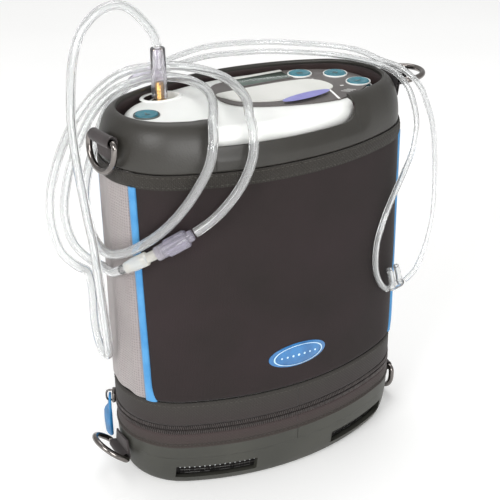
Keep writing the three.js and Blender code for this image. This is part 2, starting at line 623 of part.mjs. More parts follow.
function works() {
  compressor();
  coolingFan();
  add("battery_pack", box([-42, 16, 10], [42, 40, 100]), "battery");
  for (const [name, x] of [["sieve_bed_left", -60], ["sieve_bed_right", 60]]) {
    const profile = [[0, 74], [16, 74], [20, 78], [20, 192], [16, 196], [5, 196], [5, 199.5], [0, 199.5]];
    add(name, lathe(profile, 18).translate(x, -2, 0), "cast_metal");
  }
  add("product_tank", lathe([[0, 106], [13, 106], [16, 110], [16, 186], [12, 190], [0, 190]], 18).translate(-14, 24, 0), "black_plastic");
  const coils = [-24, -8, 8, 24].map((x) => disc(6, 117, 138, 10).translate(x, -16, 0));
  add("valve_manifold", join(box([-34, -26, 96], [34, -6, 118]), ...coils), "cast_metal");
  const chips = [[-28, 150, 14], [0, 165, 20], [22, 185, 10]].map(([x, z, s]) =>
    box([x - s / 2, -36, z - s / 2], [x + s / 2, -33, z + s / 2]));
  add("main_board", join(box([-38, -37.6, 142], [38, -36 + 0.1, 198]), ...chips), "board");
  add("intake_filter", lathe([[0, 112], [12, 112], [12, 160], [7, 164], [0, 164]], 16).translate(22, 24, 0), "white_plastic");
  const hose = [[-14, 24, 191], [-16, 24, 204], [-34, 30, 216], [-50, 32, 226], [-51, 32.2, 242.4]];
  add("outlet_hose", tubeAlong(hose, 2.2, 10), "clear_pvc");
}

// ---- Cannula ----

function cannula() {
  const cuff = [[5.1, 251.6], [5.1, 262], [4.8, 284.2]];
  const [x, y] = OUTLET;
  const sleeve = lathe([[3.6, 251.6], ...cuff, [1.8, 284.2], [3.6, 264], [3.6, 251.6]], 20);
  add("outlet_cuff", sleeve.translate(x, y, 0), "clear_pvc");
  add("supply_tube", tubeAlong(SUPPLY_ROUTE, SUPPLY_RADIUS, 32), "clear_pvc");
  add("extension_tube", tubeAlong(EXTENSION_ROUTE, SUPPLY_RADIUS, 26), "clear_pvc");
  add("branch_tube_a", tubeAlong(BRANCH_A_ROUTE, BRANCH_RADIUS, 15), "clear_pvc");
  add("branch_tube_b", tubeAlong(BRANCH_B_ROUTE, BRANCH_RADIUS, 15), "clear_pvc");
  const socket = spanOf(SOCKET_ENDS);
  add("tube_socket", aimed(lathe([[0, 0], [4, 0], [5, 1.5], [5, socket - 1], [4.4, socket], [0, socket]], 12), SOCKET_ENDS), "clear_pvc");
  const swivel = spanOf(SWIVEL_ENDS);
  const neck = [[0, 0], [3.8, 0], [3.8, 4.5], [2.8, 5.5], [2.8, 8], [4.8, 9.5], [4.8, swivel - 1.5], [3.6, swivel], [0, swivel]];
  add("tube_swivel", aimed(lathe(neck, 12), SWIVEL_ENDS), "white_plastic");
  const yoke = spanOf(YOKE_ENDS);
  add("yoke", aimed(lathe([[0, 0], [3.6, 0], [4, 3], [5.2, yoke - 4], [5, yoke], [0, yoke]], 12), YOKE_ENDS), "clear_pvc");
  nasalPiece();
}

function nasalPiece() {
  const span = spanOf(NASAL_ENDS);
  const bar = aimed(lathe([[0, 0], [2, 0], [2.9, 2.5], [2.9, span - 2.5], [2, span], [0, span]], 12), NASAL_ENDS);
  const prongs = [3.2, 9.2].map((along) => {
    const [from, to] = NASAL_ENDS.map((p) => new THREE.Vector3(...p));
    const foot = from.clone().lerp(to, along / span);
    const tip = [foot.x - 4, foot.y - 1, foot.z + 15];
    const prong = lathe([[0, 0], [1.9, 0], [1.7, 11], [2.6, 15], [0, 15]], 12);
    return aimed(prong, [foot.toArray(), tip]);
  });
  add("nasal_piece", join(bar, ...prongs), "clear_pvc");
}

baseTray();
bagWalls();
piping();
rimCap();
badge();
dRings();
zipSlider();
caseParts();
deckParts();
works();
cannula();

export default group;
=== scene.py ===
import bisect
import math

import bmesh
import bpy
from mathutils import Matrix, Vector, noise


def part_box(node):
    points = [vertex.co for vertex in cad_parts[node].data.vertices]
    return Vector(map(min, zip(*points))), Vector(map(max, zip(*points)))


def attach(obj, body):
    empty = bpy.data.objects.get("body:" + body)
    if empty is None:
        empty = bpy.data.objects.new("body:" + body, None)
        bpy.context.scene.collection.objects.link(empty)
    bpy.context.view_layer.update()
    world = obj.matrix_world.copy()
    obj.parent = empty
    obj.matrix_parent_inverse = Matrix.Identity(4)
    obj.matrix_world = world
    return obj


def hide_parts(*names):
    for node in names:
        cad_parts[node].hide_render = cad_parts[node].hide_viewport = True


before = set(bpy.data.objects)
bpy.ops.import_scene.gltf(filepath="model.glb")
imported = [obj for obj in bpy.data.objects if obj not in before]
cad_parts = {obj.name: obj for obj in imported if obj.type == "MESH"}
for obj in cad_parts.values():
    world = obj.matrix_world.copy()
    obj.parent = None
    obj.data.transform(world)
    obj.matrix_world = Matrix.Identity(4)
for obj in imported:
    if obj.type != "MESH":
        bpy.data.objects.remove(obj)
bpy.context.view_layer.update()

# ---- Works inside the case ----
# The compressor, the fan, the two sieve beds and the tank that the oxygen is made and held in.
# They are die-cast, moulded and stamped parts that are screwed to the case before it is closed.


def linear(colour):
    """The linear colour of an sRGB hex value such as "#4a4843"."""
    parts = [int(colour[i:i + 2], 16) / 255 for i in (1, 3, 5)]
    return (*(c / 12.92 if c <= 0.04045 else ((c + 0.055) / 1.055) ** 2.4 for c in parts), 1)


def add_node(material, kind, inputs=None, stops=(), **settings):
    """Adds a node. Inputs are values or the outputs linked to them, stops a ramp's places and colours."""
    node = material.node_tree.nodes.new(kind)
    for name, value in settings.items():
        setattr(node, name, value)
    for name, value in (inputs or {}).items():
        if isinstance(value, bpy.types.NodeSocket):
            material.node_tree.links.new(value, node.inputs[name])
        else:
            node.inputs[name].default_value = value
    for i, (place, colour) in enumerate(stops):
        stop = node.color_ramp.elements[i] if i < 2 else node.color_ramp.elements.new(place)
        stop.position = place
        stop.color = linear(colour)
    return node


def new_material(name):
    material = bpy.data.materials.new(name)
    material.use_nodes = True
    material.node_tree.nodes.clear()
    return material


def finish_material(material, shader):
    """Ends a material in a principled shader with these inputs."""
    surface = add_node(material, "ShaderNodeBsdfPrincipled", shader)
    add_node(material, "ShaderNodeOutputMaterial", {"Surface": surface.outputs["BSDF"]})
    return material


def grained(name, dark, light, patch, grain, depth, shader):
    """A solid material: its colour drifts between two tones in patches over a fine bumpy grain."""
    material = new_material(name)
    place = add_node(material, "ShaderNodeTexCoord").outputs["Object"]
    drift = add_node(material, "ShaderNodeTexNoise", {"Vector": place, "Scale": 1 / patch, "Detail": 3.0})
    tone = add_node(material, "ShaderNodeValToRGB", {"Fac": drift.outputs["Fac"]},
                    stops=[(0.35, dark), (0.65, light)])
    bumps = add_node(material, "ShaderNodeTexNoise", {"Vector": place, "Scale": 1 / grain, "Detail": 2.0})
    relief = add_node(material, "ShaderNodeBump",
                      {"Height": bumps.outputs["Fac"], "Distance": depth, "Strength": 1.0})
    colour = {"Base Color": tone.outputs["Color"], "Normal": relief.outputs["Normal"]}
    return finish_material(material, {**colour, **shader})


def dress(material, *nodes):
    """Gives CAD nodes their real finish."""
    for node in nodes:
        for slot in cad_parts[node].material_slots:
            slot.material = material


# Aluminium, die-cast and shot-blasted: an even soft grey with a pebbled skin.
cast_aluminium = grained("cast_aluminium_blasted", "#8c8e90", "#a3a5a6", 0.02, 0.0008, 0.00006,
                         {"Metallic": 1.0, "Roughness": 0.48})
# Carbon steel, ground: bright, with a faint haze.
ground_steel = grained("carbon_steel_ground", "#8f8d8a", "#a9a7a3", 0.01, 0.0004, 0.00001,
                       {"Metallic": 1.0, "Roughness": 0.25})
# Nylon, glass-filled and moulded: near black, with a dull bloom.
black_nylon = grained("glass_filled_nylon", "#232325", "#2e2e30", 0.015, 0.0006, 0.00003, {"Roughness": 0.5})
# Epoxy board under solder mask: glossy green over the faint relief of its copper.
solder_mask = grained("epoxy_solder_mask", "#245c3b", "#2f7449", 0.004, 0.0015, 0.00004, {"Roughness": 0.3})
# Polyolefin shrink sleeve over the battery cells: smooth dark blue with soft creases.
shrink_sleeve = grained("polyolefin_shrink_sleeve", "#26384c", "#304860", 0.02, 0.009, 0.0003,
                        {"Roughness": 0.38})
# Polyester felt, needled: off-white and matt, with loose fibre on top.
filter_felt = grained("needled_polyester_felt", "#d9d8d0", "#ecebe4", 0.003, 0.0007, 0.0002,
                      {"Roughness": 0.95, "Sheen Weight": 0.3})
# Silicone hose: milky and slightly tacky.
silicone = grained("silicone_hose", "#c9cdcc", "#d9dcda", 0.01, 0.0015, 0.00002,
                   {"Roughness": 0.35, "Subsurface Weight": 0.2})

dress(cast_aluminium, "compressor_crankcase", "compressor_motor", "piston_left", "piston_right",
      "sieve_bed_left", "sieve_bed_right", "valve_manifold")
dress(ground_steel, "crankshaft")
dress(black_nylon, "fan_frame", "fan_impeller", "product_tank")
dress(solder_mask, "main_board", "control_board")
dress(shrink_sleeve, "battery_pack")
dress(filter_felt, "intake_filter")
dress(silicone, "outlet_hose")

# ---- Case ----
# The device's own white case: a deep lower shell and a lid whose edge rounds over into the deck.
# Both are moulded ABS. The lid has a pit for the outlet and a round hole for each of four buttons.


def oval(half_width, half_depth, end_radius):
    """The arcs of an oval of four tangent arcs, as (centre, radius, first angle, last angle).

    They run anticlockwise from the middle of the front, so the front arc comes as two halves."""
    end = half_width - end_radius
    long_radius = (end ** 2 + half_depth ** 2 - end_radius ** 2) / (2 * (half_depth - end_radius))
    rise = long_radius - half_depth
    edge = math.atan2(rise, end)
    return [
        (Vector((0, rise)), long_radius, -math.pi / 2, -edge),
        (Vector((end, 0)), end_radius, -edge, edge),
        (Vector((0, -rise)), long_radius, edge, math.pi - edge),
        (Vector((-end, 0)), end_radius, math.pi - edge, math.pi + edge),
        (Vector((0, rise)), long_radius, math.pi + edge, 1.5 * math.pi),
    ]


def girth(shape):
    return sum(radius * (last - first) for _, radius, first, last in shape)


def on_wall(shape, along, height, out=0.0):
    """The point that far round the oval from the middle of the front, standing out from its wall."""
    along %= girth(shape)
    for centre, radius, first, last in shape:
        if along <= radius * (last - first):
            break
        along -= radius * (last - first)
    angle = first + along / radius
    reach = radius + out
    return Vector((centre.x + reach * math.cos(angle), centre.y + reach * math.sin(angle), height))


def skin(columns, rows, place):
    """A grid bent to shape: place(u, v) gives a point, and its place in metres in the surface's pattern."""
    bm = bmesh.new()
    bmesh.ops.create_grid(bm, x_segments=columns, y_segments=rows, size=0.5)
    places = {vert: place(vert.co.x + 0.5, vert.co.y + 0.5) for vert in bm.verts}
    pattern = bm.loops.layers.uv.new("pattern")
    for face in bm.faces:
        for loop in face.loops:
            loop[pattern].uv = places[loop.vert][1]
    for vert, (point, _) in places.items():
        vert.co = point
    bmesh.ops.remove_doubles(bm, verts=bm.verts, dist=1e-6)
    return bm


def round_wall(shape, columns, profile):
    """A wall all round an oval from a profile of (inset, height), from the bottom up."""
    around = girth(shape)

    def place(u, v):
        inset, height = profile[round(v * (len(profile) - 1))]
        return on_wall(shape, u * around, height, -inset), (u * around, height)

    return skin(columns, len(profile) - 1, place)


def close_ends(bm):
    """Closes every open end with a flat face, and turns all faces out."""
    bmesh.ops.holes_fill(bm, edges=[edge for edge in bm.edges if edge.is_boundary], sides=0)
    bmesh.ops.recalc_face_normals(bm, faces=bm.faces)
    return bm


def make_piece(bm, name, materials, body="bag_and_case", replaces=(), sharp=40):
    """Makes a piece of a bmesh, which rides on a CAD body and wears these materials."""
    mesh = bpy.data.meshes.new(name)
    bm.to_mesh(mesh)
    bm.free()
    for material in materials:
        mesh.materials.append(material)
    mesh.shade_smooth()
    mesh.set_sharp_from_angle(angle=math.radians(sharp))
    piece = bpy.data.objects.new(name, mesh)
    bpy.context.collection.objects.link(piece)
    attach(piece, body)
    if replaces:
        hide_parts(*replaces)
    return piece


def modify(piece, kind, **settings):
    modifier = piece.modifiers.new(kind.lower(), kind)
    for name, value in settings.items():
        setattr(modifier, name, value)


def carve(bm, *tools):
    """Takes closed shapes away from a closed shape."""
    meshes = []
    for shape in (bm, *tools):
        mesh = bpy.data.meshes.new("carving")
        shape.to_mesh(mesh)
        shape.free()
        meshes.append(mesh)
    body, *cutters = [bpy.data.objects.new("carving", mesh) for mesh in meshes]
    for item in (body, *cutters):
        bpy.context.collection.objects.link(item)
    for cutter in cutters:
        modify(body, "BOOLEAN", operation="DIFFERENCE", solver="EXACT", object=cutter)
    evaluated = body.evaluated_get(bpy.context.evaluated_depsgraph_get())
    carved = bmesh.new()
    carved.from_mesh(evaluated.to_mesh())
    evaluated.to_mesh_clear()
    for item in (body, *cutters):
        bpy.data.objects.remove(item)
    for mesh in meshes:
        bpy.data.meshes.remove(mesh)
    return carved


def cylinder(x, y, low, high, radius, stretch=1.0):
    """A closed upright cylinder, stretched along X into an oval where asked."""
    bm = bmesh.new()
    matrix = Matrix.Translation((x, y, (low + high) / 2)) @ Matrix.Diagonal((stretch, 1, 1, 1))
    bmesh.ops.create_cone(bm, cap_ends=True, segments=48, radius1=radius, radius2=radius,
                          depth=high - low, matrix=matrix)
    return bm


# ABS, moulded and lightly textured: warm white with a soft gloss.
case_white = grained("abs_moulded_white", "#eceeea", "#f5f6f3", 0.05, 0.0009, 0.000015,
                     {"Roughness": 0.32, "Coat Weight": 0.15, "Coat Roughness": 0.2})

case_low, case_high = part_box("case_upper")
CASE_END_RADIUS = 0.038
case_oval = oval(case_high.x, case_high.y, CASE_END_RADIUS)
deck_level = case_high.z
SHOULDER = 0.0085
ROOF = 0.009
CASE_WALL = 0.0025
ARC_STEPS = 8
OUTLET = Vector((-0.051, 0.0322))
PIT = {"x": -0.051, "y": 0.0306, "width": 0.024, "depth": 0.016, "floor": 0.246}
BUTTONS = {
    "power_button": Vector((-0.0735, 0.003)),
    "mode_button": Vector((0.049, 0.0234)),
    "increase_button": Vector((0.07, 0.0118)),
    "decrease_button": Vector((0.0738, -0.0104)),
}
BUTTON_HOLE = 0.0085
FITTING_HOLE = 0.0044
# How far a cutting shape runs past the face that it cuts.
PAST = 0.01

shoulder_profile = [(0, case_low.z), (0, deck_level - SHOULDER)] + [
    (SHOULDER * (1 - math.cos(turn)), deck_level - SHOULDER * (1 - math.sin(turn)))
    for turn in (math.pi / 2 * step / ARC_STEPS for step in range(1, ARC_STEPS + 1))
]
lid = close_ends(round_wall(case_oval, 160, shoulder_profile))
hollow_profile = [(CASE_WALL, case_low.z - PAST), (CASE_WALL, deck_level - ROOF)]
hollow = close_ends(round_wall(case_oval, 80, hollow_profile))
pit = cylinder(PIT["x"], PIT["y"], PIT["floor"], deck_level + PAST, PIT["depth"] / 2,
               PIT["width"] / PIT["depth"])
fitting_hole = cylinder(OUTLET.x, OUTLET.y, PIT["floor"] - 0.006, deck_level, FITTING_HOLE)
button_holes = [cylinder(spot.x, spot.y, deck_level - 0.012, deck_level + PAST, BUTTON_HOLE)
                for spot in BUTTONS.values()]
make_piece(carve(lid, hollow, pit, fitting_hole, *button_holes), "case_lid", [case_white],
           replaces=["case_upper"], sharp=35)
dress(case_white, "case_lower")

# ---- Control deck ----
# A printed polycarbonate film is stuck on the lid and bends down over its shoulder at the right.
# On it are the display's window, a raised pale pad shaped like a leaf, and a few printed lines.


def wall_distance(shape, x, y):
    """How far inside an oval's wall a point lies."""
    depths = []
    for centre, radius, first, last in shape:
        spoke = Vector((x, y)) - centre
        angle = math.atan2(spoke.y, spoke.x)
        while angle < first:
            angle += 2 * math.pi
        if angle <= last:
            depths.append(radius - spoke.length)
    return min(depths)


def deck_height(x, y):
    """The height of the lid at a point: flat, then rounding over the shoulder."""
    inside = wall_distance(case_oval, x, y)
    if inside >= SHOULDER:
        return deck_level
    return deck_level - SHOULDER + math.sqrt(max(0, SHOULDER ** 2 - (SHOULDER - inside) ** 2))


def through(points, spacing, closed=False):
    """Evenly spaced points on the smooth curve through a few points, a centripetal Catmull-Rom spline."""
    points = [Vector(point) for point in points]
    count = len(points)
    ends = [2 * points[0] - points[1], *points, 2 * points[-1] - points[-2]]
    spans = count if closed else count - 1
    fine = []
    for i in range(spans):
        a, b, c, d = ((points[(i + k - 1) % count] if closed else ends[i + k]) for k in range(4))
        t1 = (b - a).length ** 0.5
        t2 = t1 + (c - b).length ** 0.5
        t3 = t2 + (d - c).length ** 0.5
        for step in range(16):
            t = t1 + (t2 - t1) * step / 16
            middle = b + (c - b) * ((t - t1) / (t2 - t1))
            before = (a + (b - a) * (t / t1)).lerp(middle, t / t2)
            after = middle.lerp(c + (d - c) * ((t - t2) / (t3 - t2)), (t - t1) / (t3 - t1))
            fine.append(before.lerp(after, (t - t1) / (t2 - t1)))
    fine.append(points[0] if closed else points[-1])
    reach = [0.0]
    for here, there in zip(fine, fine[1:]):
        reach.append(reach[-1] + (there - here).length)
    steps = max(1, round(reach[-1] / spacing))
    even = []
    for step in range(steps + 1):
        target = reach[-1] * step / steps
        i = min(max(bisect.bisect_right(reach, target), 1), len(fine) - 1)
        even.append(fine[i - 1].lerp(fine[i], (target - reach[i - 1]) / (reach[i] - reach[i - 1])))
    return even


def deck_sheet(outline, centre, lift):
    """A sheet with this closed outline that lies on the lid, lifted off it, made as rings round a centre."""
    centre = Vector(centre)
    rings = 14

    def place(u, v):
        edge = outline[round(u * (len(outline) - 1))].to_2d()
        spot = edge.lerp(centre, v)
        return Vector((spot.x, spot.y, deck_height(spot.x, spot.y) + lift)), (spot.x, spot.y)

    bm = skin(len(outline) - 1, rings, place)
    bmesh.ops.dissolve_degenerate(bm, dist=1e-6, edges=bm.edges)
    return bm


# Polycarbonate film, reverse printed: warm dark grey, finely pebbled.
deck_film = grained("polycarbonate_film_dark", "#55504e", "#5e5957", 0.03, 0.0007, 0.00002,
                    {"Roughness": 0.42})
# The same film printed pale, on the pad and the strip behind the display.
pale_film = grained("polycarbonate_film_pale", "#d6d7d1", "#dfdfda", 0.03, 0.0007, 0.00002,
                    {"Roughness": 0.4})
# Screen ink: flat white lines, and a violet field.
white_ink = grained("screen_ink_white", "#f2f2ef", "#fbfbf9", 0.02, 0.0006, 0.00001, {"Roughness": 0.5})
violet_ink = grained("screen_ink_violet", "#807ebf", "#8e8dca", 0.012, 0.0006, 0.00001, {"Roughness": 0.4})
# Acrylic window over a reflective liquid-crystal cell: dark green grey and glossy.
display = grained("acrylic_over_display", "#46554d", "#54635b", 0.008, 0.002, 0.000004,
                  {"Roughness": 0.12, "Coat Weight": 0.6, "Coat Roughness": 0.05})


def thicken(bm, thickness):
    """Gives an open sheet its thickness, and turns its faces out."""
    bmesh.ops.solidify(bm, geom=bm.faces, thickness=thickness)
    bmesh.ops.recalc_face_normals(bm, faces=bm.faces)
    return bm


# FILM is the film's upper face above the lid, and SHEET the thickness of the film and of the pad.
FILM = 0.0011
SHEET = 0.0008
OUTLINE_STEP = 0.002
film_corners = [(-0.014, 0.031), (0.002, 0.035), (0.041, 0.035), (0.046, 0.0375), (0.066, 0.028),
                (0.082, 0.013), (0.0845, 0), (0.0795, -0.014), (0.066, -0.025), (0.045, -0.033),
                (0.012, -0.027), (-0.016, -0.012), (-0.022, 0.0025)]
film_outline = through([(x, y, 0) for x, y in film_corners], OUTLINE_STEP, closed=True)[::-1]
film = thicken(deck_sheet(film_outline, (0.03, 0), FILM), SHEET)
film_holes = [cylinder(spot.x, spot.y, deck_level - 0.005, deck_level + 0.005, BUTTON_HOLE)
              for name, spot in BUTTONS.items() if name != "power_button"]
make_piece(carve(film, *film_holes), "deck_film", [deck_film], replaces=["control_overlay"])

pad_corners = [(-0.0205, 0.0121), (-0.0035, 0.0138), (0.0167, 0.0139), (0.0358, 0.0125), (0.0483, 0.0088),
               (0.054, -0.0008), (0.0534, -0.0116), (0.0467, -0.016), (0.0401, -0.0145), (0.0238, -0.0189),
               (0.0034, -0.0159), (-0.0129, -0.0062), (-0.0183, 0.0038)]
pad_outline = through([(x, y, 0) for x, y in pad_corners], OUTLINE_STEP, closed=True)[::-1]
pad = thicken(deck_sheet(pad_outline, (0.017, 0), FILM + SHEET), SHEET)
make_piece(pad, "leaf_pad", [pale_film], replaces=["label_pad"])


def printed_strip(points, width, lift):
    """A flat printed line of even width along a few points on the deck."""
    route = through([(x, y, 0) for x, y in points], OUTLINE_STEP)

    def place(u, v):
        i = round(v * (len(route) - 1))
        way = route[min(i + 1, len(route) - 1)] - route[max(i - 1, 0)]
        across = Vector((way.y, -way.x, 0)).normalized()
        spot = route[i] + across * width * (u - 0.5)
        return Vector((spot.x, spot.y, deck_height(spot.x, spot.y) + lift)), (spot.x, spot.y)

    return skin(2, len(route) - 1, place)


def block(middle, size, ease=0.0, segments=2):
    """A box about its middle, with its edges eased by this much."""
    bm = bmesh.new()
    bmesh.ops.create_cube(bm, size=1, matrix=Matrix.Translation(middle) @ Matrix.Diagonal((*size, 1)))
    if ease:
        bmesh.ops.bevel(bm, geom=bm.edges, offset=ease, segments=segments, profile=0.5, affect="EDGES",
                        material=-1)
    return bm


def deck_block(low_x, high_x, low_y, high_y, lift, thickness):
    """A thin block with eased edges that lies on the flat of the deck."""
    middle = ((low_x + high_x) / 2, (low_y + high_y) / 2, deck_level + lift + thickness / 2)
    return block(middle, (high_x - low_x, high_y - low_y, thickness), thickness * 0.3)


def moved(bm, x, y, z):
    """The same bmesh, shifted by this much."""
    bmesh.ops.translate(bm, vec=(x, y, z), verts=bm.verts)
    return bm


def merge(*shapes):
    """Puts several bmeshes into one. Each shape comes with the number of its material."""
    whole = bmesh.new()
    for shape, number in shapes:
        for face in shape.faces:
            face.material_index = number
        mesh = bpy.data.meshes.new("merging")
        shape.to_mesh(mesh)
        shape.free()
        whole.from_mesh(mesh)
        bpy.data.meshes.remove(mesh)
    return whole


lens_low, lens_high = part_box("lcd_lens")
BEZEL = 0.0012
GLASS = 0.0006
bezel = deck_block(lens_low.x - BEZEL, lens_high.x + BEZEL, lens_low.y - BEZEL, lens_high.y + BEZEL,
                   FILM - 0.0002, GLASS)
glass = deck_block(lens_low.x, lens_high.x, lens_low.y, lens_high.y, FILM, GLASS)
make_piece(merge((bezel, 0), (glass, 1)), "display_window", [deck_film, display],
           replaces=["lcd_lens"])
make_piece(deck_block(-0.003, 0.043, 0.036, 0.040, 0.0001, SHEET), "grey_strip", [pale_film])

VIOLET = {"x": 0.027, "y": -0.0215, "half_length": 0.019, "half_width": 0.005, "slant": 8,
          "above_film": 0.0018}
INK = FILM + 0.0002
WIDE_LINE = 0.0016
FINE_LINE = 0.0007
violet = bmesh.new()
bmesh.ops.create_circle(violet, cap_ends=True, segments=48, radius=1)
bmesh.ops.scale(violet, vec=(VIOLET["half_length"], VIOLET["half_width"], 1), verts=violet.verts)
bmesh.ops.rotate(violet, cent=(0, 0, 0), verts=violet.verts,
                 matrix=Matrix.Rotation(math.radians(VIOLET["slant"]), 3, "Z"))
moved(violet, VIOLET["x"], VIOLET["y"], deck_level + FILM + VIOLET["above_film"])
line = printed_strip([(0.0505, 0.010), (0.0500, -0.004), (0.0478, -0.018), (0.0440, -0.034)], WIDE_LINE, INK)
light_mark = printed_strip([(0.0588, -0.0118), (0.0612, -0.0122)], WIDE_LINE, INK)
icon_lines = [printed_strip([(x, y), (x + 0.0045, y - 0.0040)], FINE_LINE, INK)
              for x, y in ((0.0535, -0.0212), (0.0560, -0.0204), (0.0585, -0.0200))]
make_piece(merge((violet, 1), (line, 0), (light_mark, 0), *((mark, 0) for mark in icon_lines)),
           "deck_printing", [white_ink, violet_ink])

# ---- Buttons ----
# Four round teal keys, moulded in ABS, stand just proud of the deck and click down a little.
# Three sit in raised white rings and the power key in a dark one.


def turned(profile, steps=48):
    """A round shape about Z from a profile of (radius, height), closed where it meets the axis."""
    bm = bmesh.new()
    verts = [bm.verts.new((radius, 0, height)) for radius, height in profile]
    edges = [bm.edges.new(pair) for pair in zip(verts, verts[1:])]
    bmesh.ops.spin(bm, geom=verts + edges, cent=(0, 0, 0), axis=(0, 0, 1), angle=2 * math.pi, steps=steps,
                   use_merge=True)
    bmesh.ops.remove_doubles(bm, verts=bm.verts, dist=1e-6)
    bmesh.ops.recalc_face_normals(bm, faces=bm.faces)
    return bm


# ABS, moulded in teal with a satin grain, and the same in dark grey for the power key's ring.
teal_key = grained("abs_moulded_teal", "#1c6979", "#277b8b", 0.004, 0.0006, 0.00003,
                   {"Roughness": 0.35, "Coat Weight": 0.2})
dark_ring = grained("abs_moulded_dark", "#57605f", "#636c6b", 0.01, 0.0006, 0.00002, {"Roughness": 0.4})

KEY = {"radius": 0.0073, "skirt": 0.0082, "foot": -0.0080, "top": 0.0014, "dish": 0.0006}
key_profile = [(0, KEY["foot"]), (KEY["skirt"], KEY["foot"]), (KEY["skirt"], -0.0055),
               (KEY["radius"], -0.0050), (KEY["radius"], KEY["top"] - 0.0008),
               (KEY["radius"] - 0.0003, KEY["top"] - 0.0002), (KEY["radius"] - 0.0010, KEY["top"]),
               (0.0045, KEY["top"] - KEY["dish"] * 0.7),
               (0.002, KEY["top"] - KEY["dish"]), (0, KEY["top"] - KEY["dish"])]
ring_profile = [(0.0076, 0.0002), (0.0076, 0.0009), (0.0078, 0.0011), (0.0081, 0.0011), (0.0083, 0.0009),
                (0.0083, 0.0002), (0.0076, 0.0002)]
# The bars of each key's symbol: place across, place up, width and height.
SYMBOLS = {
    "power_button": [(0, 0.0012, 0.0007, 0.0026), (0, -0.0012, 0.0032, 0.0007)],
    "mode_button": [(0, 0.001, 0.0042, 0.0006), (0, -0.001, 0.0042, 0.0006)],
    "increase_button": [(0, 0, 0.0042, 0.0007), (0, 0, 0.0007, 0.0042)],
    "decrease_button": [(0, 0, 0.0042, 0.0007)],
}
SYMBOL_THICKNESS = 0.0004
for button, spot in BUTTONS.items():
    printed = button != "power_button"
    base = deck_level + (FILM if printed else 0)
    key = moved(turned(key_profile), spot.x, spot.y, base)
    symbol_level = base + KEY["top"] - KEY["dish"] + 0.0001
    bars = [block((spot.x + x, spot.y + y, symbol_level), (width, height, SYMBOL_THICKNESS))
            for x, y, width, height in SYMBOLS[button]]
    make_piece(merge((key, 0), *((bar, 1) for bar in bars)), button + "_cap", [teal_key, dark_ring],
               body=button.replace("button", "key"), replaces=[button])
    ring = moved(turned(ring_profile), spot.x, spot.y, base - 0.0002)
    make_piece(ring, button + "_ring", [case_white if printed else dark_ring])

# ---- Oxygen outlet ----
# A ribbed brass barb, turned from bar, is pressed into the floor of an oval pit in the deck.
# A white lip stands round the pit.

# Brass, turned and lacquered: warm gold with fine rings from the tool.
turned_brass = grained("brass_turned", "#b5893a", "#d2a456", 0.003, 0.0005, 0.00003,
                       {"Metallic": 1.0, "Roughness": 0.22})
barb_low, barb_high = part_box("outlet_barb")
BARB = {"bore": 0.0015, "collar": 0.0055, "ridge": 0.0032, "groove": 0.0024, "tip": 0.0021,
        "first_ridge": 0.0056, "pitch": 0.0026, "ridges": 4}
barb_profile = [(BARB["bore"], barb_low.z), (BARB["collar"], barb_low.z),
                (BARB["collar"], barb_low.z + 0.0025), (BARB["collar"] - 0.0005, barb_low.z + 0.0030),
                (BARB["ridge"], barb_low.z + 0.0034)]
for i in range(BARB["ridges"]):
    foot = barb_low.z + BARB["first_ridge"] + BARB["pitch"] * i
    barb_profile += [(BARB["groove"], foot - 0.0004), (BARB["ridge"], foot),
                     (BARB["ridge"] - 0.0001, foot + 0.0004)]
barb_profile += [(BARB["tip"], barb_high.z), (BARB["bore"], barb_high.z), (BARB["bore"], barb_low.z)]
barb = moved(turned(barb_profile), OUTLET.x, OUTLET.y, 0)
make_piece(barb, "barb", [turned_brass], replaces=["outlet_barb"], sharp=30)

lip = turned([(0.0080, 0.0002), (0.0082, 0.0008), (0.0088, 0.0011), (0.0096, 0.0009), (0.0100, 0.0002),
              (0.0080, 0.0002)])
bmesh.ops.scale(lip, vec=(PIT["width"] / PIT["depth"] * 0.97, 1, 1), verts=lip.verts)
make_piece(moved(lip, PIT["x"], PIT["y"], deck_level - 0.0002), "outlet_lip", [case_white])

# ---- Base tray of the bag ----
# A deep tray of thermoformed rubbery EVA that tucks in towards the floor, sewn to the bag's walls.
# Two slots in the front and two in the back let cooling air through.

# EVA, thermoformed against a smooth mould: dark olive grey, with a low even sheen.
eva = grained("eva_thermoformed", "#363631", "#3f3f39", 0.06, 0.0011, 0.00004,
              {"Roughness": 0.5, "Specular IOR Level": 0.4, "Coat Weight": 0.06, "Coat Roughness": 0.35})

bag_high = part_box("lower_band")[1]
BAG_END_RADIUS = 0.047
bag = oval(bag_high.x, bag_high.y, BAG_END_RADIUS)
around = girth(bag)
base_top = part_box("base_tray")[1].z
TUCK_TOP = 0.033
TUCK = 0.0073
VENTS = [(side, face) for side in (-1, 1) for face in (-1, 1)]
VENT = {"near": 0.030, "far": 0.083, "bottom": 0.006, "top": 0.016}
TRAY_WALL = 0.0035


def tuck(height):
    """How far the bag's wall draws in near the floor."""
    part = min(1, max(0, (TUCK_TOP - height) / TUCK_TOP))
    return TUCK * (1 - math.sqrt(1 - part ** 2))


def tray_profile(wall, low, steps=20):
    """The tray's section, wall inside its outer face, from a low level to its top."""
    first = math.asin(1 - low / TUCK_TOP)
    last = math.asin(1 - base_top / TUCK_TOP)
    turns = [first + (last - first) * step / steps for step in range(steps + 1)]
    return [(wall + TUCK * (1 - math.cos(turn)), TUCK_TOP * (1 - math.sin(turn))) for turn in turns]


